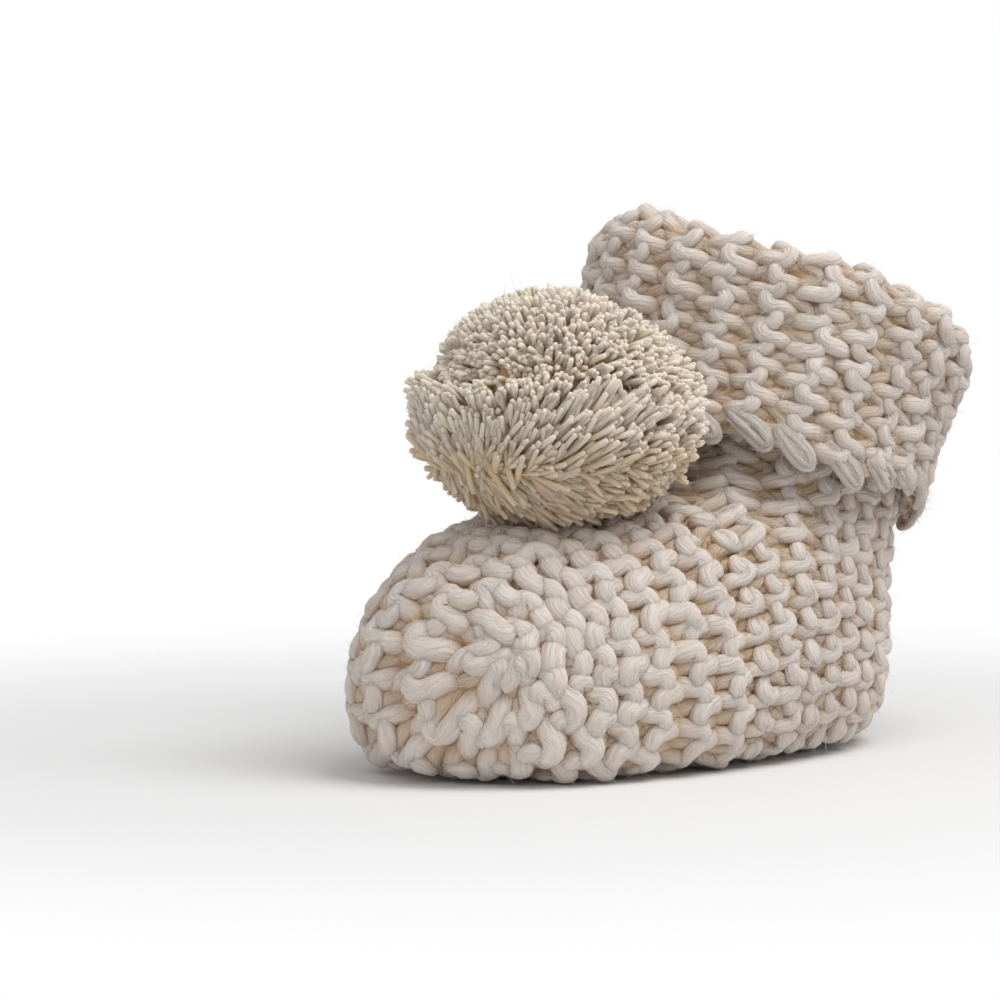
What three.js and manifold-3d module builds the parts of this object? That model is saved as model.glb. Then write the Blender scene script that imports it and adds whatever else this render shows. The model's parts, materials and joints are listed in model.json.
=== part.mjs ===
// Hand-knitted baby bootie: a garter-stitch foot, a leaning leg with a turned-down cuff,
// the yarns that close them, and a pompom tied to the instep.
// Millimetres, +Z up, toe toward -Y, heel toward +Y. Origin: centre of the flat sole face.
import * as THREE from 'three';
import { ParametricGeometry } from 'three/addons/geometries/ParametricGeometry.js';
import { mergeVertices } from 'three/addons/utils/BufferGeometryUtils.js';
import Module from 'manifold-3d';

const wasm = await Module();
wasm.setup();

// ---------------------------------------------------------------- driving dimensions
const GAP = 0.35;              // clearance between separate pieces
const WALL = 3.5;              // thickness of the fabric
const SEAM_YARN = 0.8;         // radius of the seam and gather yarns

// Distances "along" the leg are measured up its centre line from the point (LEG_Y, LEG_Z).
const LEG_RADIUS = 23;
const LEG_BORE = LEG_RADIUS - WALL;
const LEG_TILT = THREE.MathUtils.degToRad(20);   // lean toward the heel
const LEG_Y = 19.5;
const LEG_Z = 22;
const LEG_START = 2;           // lower end along the leg, before trimming
const LEG_TOP = 43.9;          // top edge along the leg
const LEG_FLOOR_Z = 20;        // nothing of the leg reaches below this height

const ANKLE_Y = 16;            // axis on which the leg flexes against the foot
const ANKLE_Z = 14;
const ANKLE_SPLIT = 31;        // radius of the flex line between foot and leg
const SPLIT_GAP = 0.4;
const INSTEP_TOP_Z = 35.2;     // top of the foot in front of the flex line

const CUFF_HEM = 16.7;         // lower edge along the leg
const CUFF_TOP = 47.9;         // crest of the fold along the leg
const CUFF_RADIUS = 29.2;
const CUFF_BORE = 25.4;
const CHAIN_RADIUS = 27.6;     // ring radius of the chain edge below the hem
const CHAIN_YARN = 1.5;

const POM_HALF_X = 20.5;
const POM_HALF_Y = 15.5;
const POM_HALF_Z = 16;
const POM_CENTRE = [0, -21.5, 52.4];
const POM_PARTING = 1.3;       // half height of the parting round the tie
const POM_CORE = 4.8;          // half width of the strand bundle inside the tie
const TIE_YARN = 0.85;

const TAIL_Y = -20;            // the upright tail yarn that holds the pompom
const TAIL_SPLIT_Z = 35.7;     // height at which stitch and neck meet
const TAIL_HALF_GAP = 0.25;
const TAIL_YARN = 1.1;
const TAIL_NECK_HEIGHT = 4.6;

const GATHER_TURN = THREE.MathUtils.degToRad(33);   // toe gather's turn from -Y toward +X
const GATHER_CENTRE = [13, -42.7, 19.5];
const GATHER_DEPTH = 2.4;      // dimple floor below the gather centre
const GATHER_RADIUS = 3.2;
const DIMPLE_RADIUS = 4.6;
const DIMPLE_LENGTH = 8;

// ---------------------------------------------------------------- solids and meshes
// Welds a geometry into a solid, turning its faces outward if they face in.
function toSolid(geometry) {
  geometry.deleteAttribute('normal');
  geometry.deleteAttribute('uv');
  const welded = mergeVertices(geometry, 1e-4);
  const source = welded.index.array;
  const corners = [];
  for (let i = 0; i < source.length; i += 3) {
    const [first, second, third] = source.slice(i, i + 3);
    if (first !== second && second !== third && first !== third) {
      corners.push(first, second, third);
    }
  }
  const build = () => new wasm.Manifold(new wasm.Mesh({
    numProp: 3,
    vertProperties: Float32Array.from(welded.attributes.position.array),
    triVerts: Uint32Array.from(corners),
  }));
  const solid = build();
  if (solid.volume() >= 0) return solid;
  for (let i = 0; i < corners.length; i += 3) {
    [corners[i + 1], corners[i + 2]] = [corners[i + 2], corners[i + 1]];
  }
  return build();
}

function toGeometry(solid) {
  const { vertProperties, triVerts } = solid.getMesh();
  const geometry = new THREE.BufferGeometry();
  geometry.setAttribute('position', new THREE.BufferAttribute(vertProperties, 3));
  geometry.setIndex(Array.from(triVerts));
  geometry.computeVertexNormals();
  return geometry;
}

const YARNS = {
  fabric: { color: 0xd9cfc3, roughness: 0.95 },
  seam: { color: 0xcfc3b3, roughness: 0.95 },
  pompomTie: { color: 0xcbbda6, roughness: 0.95 },
  pompomStrands: { color: 0xcbbda6, roughness: 0.98 },
};

function piece(name, solid, yarn) {
  const material = new THREE.MeshStandardMaterial({ ...yarn, metalness: 0 });
  const mesh = new THREE.Mesh(toGeometry(solid), material);
  mesh.name = name;
  return mesh;
}

function group(name, ...members) {
  const result = new THREE.Group();
  result.name = name;
  result.add(...members);
  return result;
}

// ---------------------------------------------------------------- shape helpers
// Closed loft through level superellipses, one per row, with a pole at each end.
// Row: z, centre y, front y, back y, half width, roundness (2 is an ellipse).
function loft(rows, around) {
  const bands = rows.length + 1;
  const surface = (u, v, target) => {
    const level = Math.round(v * bands);
    const row = rows[THREE.MathUtils.clamp(level - 1, 0, rows.length - 1)];
    const [z, centreY, frontY, backY, halfWidth, roundness] = row;
    if (level === 0 || level === bands) {
      target.set(0, centreY, z);
      return;
    }
    const angle = (u % 1) * Math.PI * 2;
    const bulge = (value) => Math.sign(value) * Math.pow(Math.abs(value), 2 / roundness);
    const x = halfWidth * bulge(Math.cos(angle));
    const reach = bulge(Math.sin(angle));
    const depth = reach > 0 ? backY - centreY : centreY - frontY;
    // Snapping x keeps the front and back points exactly on the centre plane.
    target.set(Math.abs(x) < 1e-9 ? 0 : x, centreY + reach * depth, z);
  };
  return toSolid(new ParametricGeometry(surface, around, bands));
}

// Round yarn of eight sides along a smooth path.
function cord(points, radius, steps) {
  const section = new THREE.Shape();
  section.absarc(0, 0, radius, 0, Math.PI * 2, false);
  return toSolid(new THREE.ExtrudeGeometry(section, {
    curveSegments: 4,
    steps,
    extrudePath: new THREE.CatmullRomCurve3(points.map((point) => new THREE.Vector3(...point))),
    bevelEnabled: false,
  }));
}

// Path points that sway from side to side in x; place(fraction) gives the other two.
function zigzag(count, sway, place) {
  const points = [];
  for (let i = 0; i <= count; i++) {
    points.push([i % 2 ? sway : -sway, ...place(i / count)]);
  }
  return points;
}

// Profile points: radius, distance along +Y.
const turned = (profile, around) => new THREE.LatheGeometry(
  profile.map((point) => new THREE.Vector2(...point)), around);

// Stands a geometry made round +Y up along +Z.
const upright = (geometry) => geometry.rotateX(Math.PI / 2);

const onTail = (geometry, z) => toSolid(upright(geometry).translate(0, TAIL_Y, z));

// Trimming block between two y and two z planes, wider than the bootie.
const block = (minY, maxY, minZ, maxZ) => toSolid(
  new THREE.BoxGeometry(160, maxY - minY, maxZ - minZ)
    .translate(0, (minY + maxY) / 2, (minZ + maxZ) / 2));

// Cylinder across the foot on the ankle axis.
const ankleBarrel = (radius) => toSolid(new THREE.CylinderGeometry(radius, radius, 120, 72)
  .rotateZ(Math.PI / 2).translate(0, ANKLE_Y, ANKLE_Z));

const translation = (...offset) => new THREE.Matrix4().makeTranslation(...offset);

// Places a solid made round +Y on the leaning centre line of the leg.
const legFrame = translation(0, LEG_Y, LEG_Z)
  .multiply(new THREE.Matrix4().makeRotationX(Math.PI / 2 - LEG_TILT));
const inLeg = (solid) => solid.transform(legFrame.elements);

// Yarn up the heel side of the leg, `radius` from its centre line.
function seamInLeg({ radius, start, end, yarn, sway }) {
  const count = Math.round((end - start) / 3);
  const points = zigzag(count, sway, (part) => [start + (end - start) * part, -radius]);
  return inLeg(cord(points, yarn, count * 4));
}

// ---------------------------------------------------------------- foot
// Level sections through the leaning leg.
const legCentreY = (z) => LEG_Y + Math.tan(LEG_TILT) * (z - LEG_Z);
const legFront = (z, radius) => legCentreY(z) - radius / Math.cos(LEG_TILT);
const legBack = (z, radius) => legCentreY(z) + radius / Math.cos(LEG_TILT);
const legRow = (z, radius) => [
  z, legCentreY(z), legFront(z, radius), legBack(z, radius), radius, 2,
];

// Columns as for loft().
const FOOT_OUTSIDE = [
  [0.0, 0, -41.5, 40.0, 21.5, 2.5],
  [1.6, 0, -44.6, 42.8, 24.3, 2.5],
  [5.0, 0, -46.8, 44.8, 26.2, 2.5],
  [10.0, 1, -47.6, 45.4, 27.0, 2.5],
  [16.0, 3, -47.2, 45.4, 26.8, 2.5],
  [22.0, 8, -45.6, 45.2, 25.9, 2.4],
  [27.0, 14, -42.2, 45.6, 24.8, 2.3],
  [30.0, 18, -38.0, legBack(30, LEG_RADIUS), 23.9, 2.2],
  [32.6, 21, -30.0, legBack(32.6, LEG_RADIUS), 23.2, 2.1],
  [34.2, 24, -19.0, legBack(34.2, LEG_RADIUS), LEG_RADIUS, 2],
  [35.6, 24.5, -9.5, legBack(35.6, LEG_RADIUS), LEG_RADIUS, 2],
  [38.2, 25.4, -3.2, legBack(38.2, LEG_RADIUS), LEG_RADIUS, 2],
  legRow(42, LEG_RADIUS),
  legRow(50, LEG_RADIUS),
];
const FOOT_INSIDE = [
  [WALL, 0, -37.2, 36.8, 18.6, 2.5],
  [5.6, 0, -41.4, 40.2, 21.6, 2.5],
  [10.0, 1, -43.9, 41.8, 23.3, 2.5],
  [16.0, 3, -43.2, 41.8, 23.0, 2.5],
  [21.0, 8, -41.0, 41.4, 22.0, 2.4],
  [25.0, 14, -37.0, 41.8, 21.0, 2.3],
  [28.0, 18, -32.0, legBack(28, LEG_BORE), 20.2, 2.2],
  [30.0, 21, -24.0, legBack(30, LEG_BORE), LEG_BORE, 2],
  [31.2, 24, -11.0, legBack(31.2, LEG_BORE), LEG_BORE, 2],
  [33.6, 24.4, -4.4, legBack(33.6, LEG_BORE), LEG_BORE, 2],
  [37.6, 25.2, 1.0, legBack(37.6, LEG_BORE), LEG_BORE, 2],
  legRow(42, LEG_BORE),
  legRow(54, LEG_BORE),
];

// Frame of the toe gather: local +Z points out of the fabric.
const gatherOutward = new THREE.Vector3(Math.sin(GATHER_TURN), -Math.cos(GATHER_TURN), 0);
const gatherFrame = translation(...GATHER_CENTRE)
  .multiply(new THREE.Matrix4().makeRotationFromQuaternion(
    new THREE.Quaternion().setFromUnitVectors(new THREE.Vector3(0, 0, 1), gatherOutward)));
const inGather = (geometry, z) => toSolid(geometry.translate(0, 0, z))
  .transform(gatherFrame.elements);

function footShell() {
  const around = 44;
  const fabric = loft(FOOT_OUTSIDE, around).subtract(loft(FOOT_INSIDE, around));

  // Above the heel notch the fabric belongs to the foot only inside the flex line.
  const heelNotch = block(-4, 76, 16, 56);
  const footRegion = block(-80, 80, -24.8, INSTEP_TOP_Z)
    .subtract(heelNotch)
    .add(ankleBarrel(ANKLE_SPLIT - SPLIT_GAP / 2));

  const tailPassage = onTail(new THREE.CylinderGeometry(1.7, 1.7, 20, 16), 32);
  const dimple = inGather(
    upright(new THREE.CylinderGeometry(DIMPLE_RADIUS, DIMPLE_RADIUS, DIMPLE_LENGTH, 24)),
    DIMPLE_LENGTH / 2 - GATHER_DEPTH);
  return fabric.intersect(footRegion).subtract(tailPassage).subtract(dimple);
}

const toeGather = () => inGather(
  new THREE.TorusGeometry(GATHER_RADIUS, SEAM_YARN, 8, 28), GAP + SEAM_YARN - GATHER_DEPTH);

function soleSeam() {
  const halfLength = 35;
  const z = WALL + GAP + SEAM_YARN;
  const points = zigzag(24, 0.5, (part) => [-halfLength + 2 * halfLength * part, z]);
  return cord(points, SEAM_YARN, 72);
}

// Path points: x, y, z.
const HEEL_SEAM_PATH = [
  [0.4, 38.5, 7.6], [-0.4, 39.6, 10.6], [0.4, 40.2, 13.6],
  [-0.4, 40.1, 16.6], [0.4, 39.8, 19.6], [-0.4, 39.6, 22.0],
];

// Knot inside the instep and the stitch rising from it. Profile: radius, z.
const ANCHOR_PROFILE = [
  [0, 24.9], [1.8, 25.1], [3.0, 25.9], [3.3, 26.9], [3.0, 27.9], [1.9, 28.6], [1.15, 29.0],
  [TAIL_YARN, 30.5], [TAIL_YARN, TAIL_SPLIT_Z - TAIL_HALF_GAP - 0.1],
  [0, TAIL_SPLIT_Z - TAIL_HALF_GAP],
];

// ---------------------------------------------------------------- leg
// Profiles of leg and cuff: radius, distance along the leg.
const LEG_PROFILE = [
  [LEG_BORE, LEG_START], [LEG_RADIUS, LEG_START],
  [LEG_RADIUS, LEG_TOP - 1], [LEG_RADIUS - 0.9, LEG_TOP],
  [LEG_BORE + 0.9, LEG_TOP], [LEG_BORE, LEG_TOP - 1],
  [LEG_BORE, LEG_START],
];

const legShaft = () => inLeg(toSolid(turned(LEG_PROFILE, 56)))
  .subtract(ankleBarrel(ANKLE_SPLIT + SPLIT_GAP / 2))
  .intersect(block(-80, 80, LEG_FLOOR_Z, 140));

const legSeam = () => seamInLeg({
  radius: LEG_BORE - GAP - SEAM_YARN,
  start: 18.5,
  end: LEG_TOP - 2,
  yarn: SEAM_YARN,
  sway: 0.4,
});

// ---------------------------------------------------------------- cuff
// Up the outside, over the fold, under it across the leg's top edge and down the bore.
const FOLD_UNDERSIDE = LEG_TOP + 0.9;
const CUFF_PROFILE = [
  [CUFF_BORE + 0.8, CUFF_HEM], [CUFF_RADIUS - 0.7, CUFF_HEM],
  [CUFF_RADIUS, CUFF_HEM + 3], [CUFF_RADIUS, CUFF_TOP - 14],
  [CUFF_RADIUS - 0.7, CUFF_TOP - 7], [CUFF_RADIUS - 2.2, CUFF_TOP - 3],
  [CUFF_RADIUS - 4.6, CUFF_TOP - 0.6], [CUFF_RADIUS - 6.6, CUFF_TOP],
  [21.2, CUFF_TOP - 0.7], [20.1, CUFF_TOP - 2],
  [20.1, FOLD_UNDERSIDE], [CUFF_BORE, FOLD_UNDERSIDE],
  [CUFF_BORE, CUFF_HEM + 9], [CUFF_BORE + 0.5, CUFF_HEM + 3],
  [CUFF_BORE + 0.8, CUFF_HEM],
];

const cuffFold = () => inLeg(toSolid(turned(CUFF_PROFILE, 60)));

const cuffChain = () => inLeg(toSolid(
  upright(new THREE.TorusGeometry(CHAIN_RADIUS, CHAIN_YARN, 8, 60))
    .translate(0, CUFF_HEM - GAP - CHAIN_YARN, 0)));

// Runs midway between the leg and the cuff.
const cuffSeam = () => seamInLeg({
  radius: (LEG_RADIUS + CUFF_BORE) / 2,
  start: CUFF_HEM + 5,
  end: LEG_TOP - 2,
  yarn: 0.6,
  sway: 0.12,
});

// ---------------------------------------------------------------- pompom
// Part of the pompom's outline between two latitudes: radius, height.
function pompomArc(from, to) {
  const steps = 9;
  const points = [];
  for (let i = 0; i <= steps; i++) {
    const latitude = from + ((to - from) * i) / steps;
    const radius = Math.cos(latitude) * POM_HALF_X;
    points.push([Math.abs(radius) < 1e-6 ? 0 : radius, Math.sin(latitude) * POM_HALF_Z]);
  }
  return points;
}

// Two tufts joined by the core, with a socket below for the tail yarn.
function pompomStrands() {
  const partingLatitude = Math.asin(POM_PARTING / POM_HALF_Z);
  const profile = [
    ...pompomArc(-Math.PI / 2, -partingLatitude),
    [POM_CORE, -POM_PARTING],
    [POM_CORE, POM_PARTING],
    ...pompomArc(partingLatitude, Math.PI / 2),
  ];
  const socket = onTail(new THREE.CylinderGeometry(3.2, 2.9, 14, 20), 34.5);
  return toSolid(upright(turned(profile, 32))
    .scale(1, POM_HALF_Y / POM_HALF_X, 1)
    .translate(...POM_CENTRE))
    .subtract(socket);
}

const pompomTie = () => toSolid(
  new THREE.TorusGeometry(POM_CORE + GAP + TIE_YARN, TIE_YARN, 8, 28)
    .translate(...POM_CENTRE));

const pompomNeck = () => onTail(
  new THREE.CylinderGeometry(TAIL_YARN, TAIL_YARN, TAIL_NECK_HEIGHT, 14),
  TAIL_SPLIT_Z + TAIL_HALF_GAP + TAIL_NECK_HEIGHT / 2);

// ---------------------------------------------------------------- assembly
const bootie = group('baby_bootie',
  group('foot_group',
    piece('foot_shell', footShell(), YARNS.fabric),
    piece('toe_gather_yarn', toeGather(), YARNS.seam),
    piece('sole_seam_yarn', soleSeam(), YARNS.seam),
    piece('heel_seam_yarn', cord(HEEL_SEAM_PATH, SEAM_YARN, 30), YARNS.seam),
    piece('pompom_anchor_stitch', onTail(turned(ANCHOR_PROFILE, 16), 0), YARNS.pompomTie)),
  group('leg_group',
    piece('leg_shaft', legShaft(), YARNS.fabric),
    piece('leg_seam_yarn', legSeam(), YARNS.seam)),
  group('cuff_group',
    piece('cuff_fold', cuffFold(), YARNS.fabric),
    piece('cuff_edge_chain', cuffChain(), YARNS.fabric),
    piece('cuff_seam_yarn', cuffSeam(), YARNS.seam)),
  group('pompom_group',
    piece('pompom_strands', pompomStrands(), YARNS.pompomStrands),
    piece('pompom_tie_yarn', pompomTie(), YARNS.pompomTie),
    piece('pompom_tail_neck', pompomNeck(), YARNS.pompomTie)));

export default bootie;
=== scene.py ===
"""A knitted baby bootie in cream wool, with a turned-down cuff and a pompom on the instep.

It stands on z = 0 with the toe towards -Y and the heel towards +Y. The leg leans along
LEG_AXIS. Every yarn is its own tube, laid in loops on a smooth base surface. Parts named
"right" lie on the +X side, which is on the right when the bootie is seen from the toe.
"""
import json
import math
from collections import defaultdict
import numpy as np
import bpy
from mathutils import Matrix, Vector, noise
from mathutils.bvhtree import BVHTree


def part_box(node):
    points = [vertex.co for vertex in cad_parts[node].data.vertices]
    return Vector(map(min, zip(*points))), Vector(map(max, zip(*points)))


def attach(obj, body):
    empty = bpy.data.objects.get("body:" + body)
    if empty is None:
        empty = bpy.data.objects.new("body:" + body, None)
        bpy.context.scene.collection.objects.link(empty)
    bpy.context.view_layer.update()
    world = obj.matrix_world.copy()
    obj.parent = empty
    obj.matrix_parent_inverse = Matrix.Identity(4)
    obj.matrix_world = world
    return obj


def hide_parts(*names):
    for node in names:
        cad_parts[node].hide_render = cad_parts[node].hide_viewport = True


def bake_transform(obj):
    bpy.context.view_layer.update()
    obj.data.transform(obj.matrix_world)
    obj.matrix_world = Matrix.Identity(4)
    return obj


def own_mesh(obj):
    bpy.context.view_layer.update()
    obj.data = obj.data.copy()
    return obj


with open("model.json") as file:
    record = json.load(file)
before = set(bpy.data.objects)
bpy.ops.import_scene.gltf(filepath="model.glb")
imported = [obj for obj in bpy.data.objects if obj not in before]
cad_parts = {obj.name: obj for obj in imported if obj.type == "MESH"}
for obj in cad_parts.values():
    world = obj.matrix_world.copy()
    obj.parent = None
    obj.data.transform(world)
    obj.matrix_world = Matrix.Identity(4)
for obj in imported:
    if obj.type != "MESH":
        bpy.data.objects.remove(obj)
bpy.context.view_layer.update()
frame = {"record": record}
MM = 0.001
RNG = np.random.default_rng(20261116)
LUMPS = np.random.default_rng(4417)

# ------------------------------------------------------------------ driving sizes
LEG_AXIS = next(np.array(joint["axis"], float)
                for joint in frame["record"]["behaviour"]["joints"]
                if joint["name"] == "cuff_turn_up")
LEG_AXIS /= np.linalg.norm(LEG_AXIS)
LEG_BASE_MM = np.array([0.0, 19.5, 22.0])      # a point on the leg's centre line
LEG_BASE = LEG_BASE_MM * MM
SIDEWAYS = np.array([1.0, 0, 0])
UP = np.array([0, 0, 1.0])
FRONT = np.array([0.0, -LEG_AXIS[2], LEG_AXIS[1]])   # square to the leg, towards the toe
BACK = -FRONT
CUFF_LOW, CUFF_HIGH = [np.array(corner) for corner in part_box("cuff_fold")]
CUFF_RADIUS = (CUFF_HIGH[0] - CUFF_LOW[0]) / 2

INSET_MM = 2.2               # fabric mid surface below the outer face
LEG_RADIUS_MM = 23.0 - INSET_MM
YARN_RADIUS = 1.18 * MM      # through the fabric
YARN_FLAT = 1.30             # width over thickness of the pressed yarn
LOOP_RISE = 1.0 * MM         # reach of the loops to either side of the mid surface
LOOP_REACH = LOOP_RISE + YARN_RADIUS
RING_PITCH = 6.7 * MM        # width of one ridge on the foot
LOOP_STEPS = 22
YARN_SIDES = 12
YARN_LUMPS = 0.055           # unevenness of every yarn's surface


# ------------------------------------------------------------------ small helpers
def unit(vectors, tiny=0.0):
    return vectors / (np.linalg.norm(vectors, axis=-1, keepdims=True) + tiny)


def clamp(value):
    return max(0.0, min(1.0, value))


def running_length(path):
    steps = np.linalg.norm(np.diff(path, axis=0), axis=1)
    return np.concatenate([[0], np.cumsum(steps)])


def resample(path, count):
    """Evenly spaced points along a polyline, and its length."""
    reach = running_length(path)
    wanted = np.linspace(0, reach[-1], count)
    return np.stack([np.interp(wanted, reach, path[:, k]) for k in range(3)], -1), reach[-1]


def soften(points):
    """Average each inner row with its neighbours, in place."""
    points[1:-1] = (points[:-2] + 2 * points[1:-1] + points[2:]) / 4


def pchip(stations, values, wanted):
    """Monotone cubic through the stations, so the curve never overshoots them."""
    stations = np.asarray(stations, float)
    values = np.asarray(values, float)
    gap = np.diff(stations)
    rise = np.diff(values) / gap
    slope = np.zeros(len(stations))
    for i in range(1, len(stations) - 1):
        if rise[i - 1] * rise[i] > 0:
            before, after = 2 * gap[i] + gap[i - 1], gap[i] + 2 * gap[i - 1]
            slope[i] = (before + after) / (before / rise[i - 1] + after / rise[i])
    slope[0], slope[-1] = rise[0], rise[-1]
    wanted = np.clip(np.asarray(wanted, float), stations[0], stations[-1])
    i = np.clip(np.searchsorted(stations, wanted) - 1, 0, len(stations) - 2)
    t = (wanted - stations[i]) / gap[i]
    return ((2 * t**3 - 3 * t**2 + 1) * values[i] + (t**3 - 2 * t**2 + t) * gap[i] * slope[i]
            + (-2 * t**3 + 3 * t**2) * values[i + 1] + (t**3 - t**2) * gap[i] * slope[i + 1])


def across_leg(angle):
    """Outward direction square to the leg, in radians round from the front towards +X."""
    return math.sin(angle) * SIDEWAYS + math.cos(angle) * FRONT


def box_of(node):
    """Centre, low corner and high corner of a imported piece."""
    low, high = [np.array(corner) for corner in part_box(node)]
    return (low + high) / 2, low, high


# ------------------------------------------------------------------ mesh building
def mesh_from(name, verts, quads, tris=None, uv=None, bake_uv=None, attributes=None):
    """Smooth object from arrays. The UVs are per corner, in the order quads then tris."""
    mesh = bpy.data.meshes.new(name)
    quad_count = len(quads)
    tri_count = 0 if tris is None else len(tris)
    mesh.vertices.add(len(verts))
    mesh.vertices.foreach_set("co", np.asarray(verts, np.float32).ravel())
    corners = np.asarray(quads, np.int32).ravel()
    if tri_count:
        corners = np.concatenate([corners, np.asarray(tris, np.int32).ravel()])
    mesh.loops.add(len(corners))
    mesh.loops.foreach_set("vertex_index", corners)
    mesh.polygons.add(quad_count + tri_count)
    starts = np.concatenate([np.arange(quad_count) * 4, quad_count * 4 + np.arange(tri_count) * 3])
    mesh.polygons.foreach_set("loop_start", starts.astype(np.int32))
    for layer_name, coords in (("Yarn", uv), ("OFBake", bake_uv)):
        if coords is not None:
            layer = mesh.uv_layers.new(name=layer_name)
            layer.data.foreach_set("uv", np.asarray(coords, np.float32).ravel())
    mesh.update(calc_edges=True)
    mesh.validate(verbose=False)
    for key, value in (attributes or {}).items():
        attribute = mesh.attributes.new(key, "FLOAT", "POINT")
        attribute.data.foreach_set("value", np.asarray(value, np.float32))
    mesh.polygons.foreach_set("use_smooth", np.ones(quad_count + tri_count, bool))
    obj = bpy.data.objects.new(name, mesh)
    bpy.context.scene.collection.objects.link(obj)
    return obj


def read_vertices(obj, key="co"):
    values = np.empty(len(obj.data.vertices) * 3)
    obj.data.vertices.foreach_get(key, values)
    return values.reshape(-1, 3)


def tube_quads(index):
    """Quads between neighbouring rings of a tube. index holds rings of vertex numbers."""
    near = index[..., :-1, :]
    far = index[..., 1:, :]
    return np.stack([near, np.roll(near, -1, -1), np.roll(far, -1, -1), far], -1).reshape(-1, 4)


def grid_uv(u_low, u_high, v_low, v_high):
    """Corner coordinates for a grid of quads, matching tube_quads."""
    u_low, u_high, v_low, v_high = np.broadcast_arrays(
        u_low[:, None], u_high[:, None], v_low, v_high)
    return np.stack([u_low, v_low, u_low, v_high, u_high, v_high, u_high, v_low],
                    -1).reshape(-1, 2)


def settle_on_floor(obj, softness=0.5 * MM):
    """Press the lowest yarn flat, so nothing goes below z = 0."""
    points = read_vertices(obj)
    height = points[:, 2]
    low = height < softness
    height[low] = softness * np.exp((height[low] - softness) / softness)
    obj.data.vertices.foreach_set("co", points.ravel())
    obj.data.update()


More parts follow.
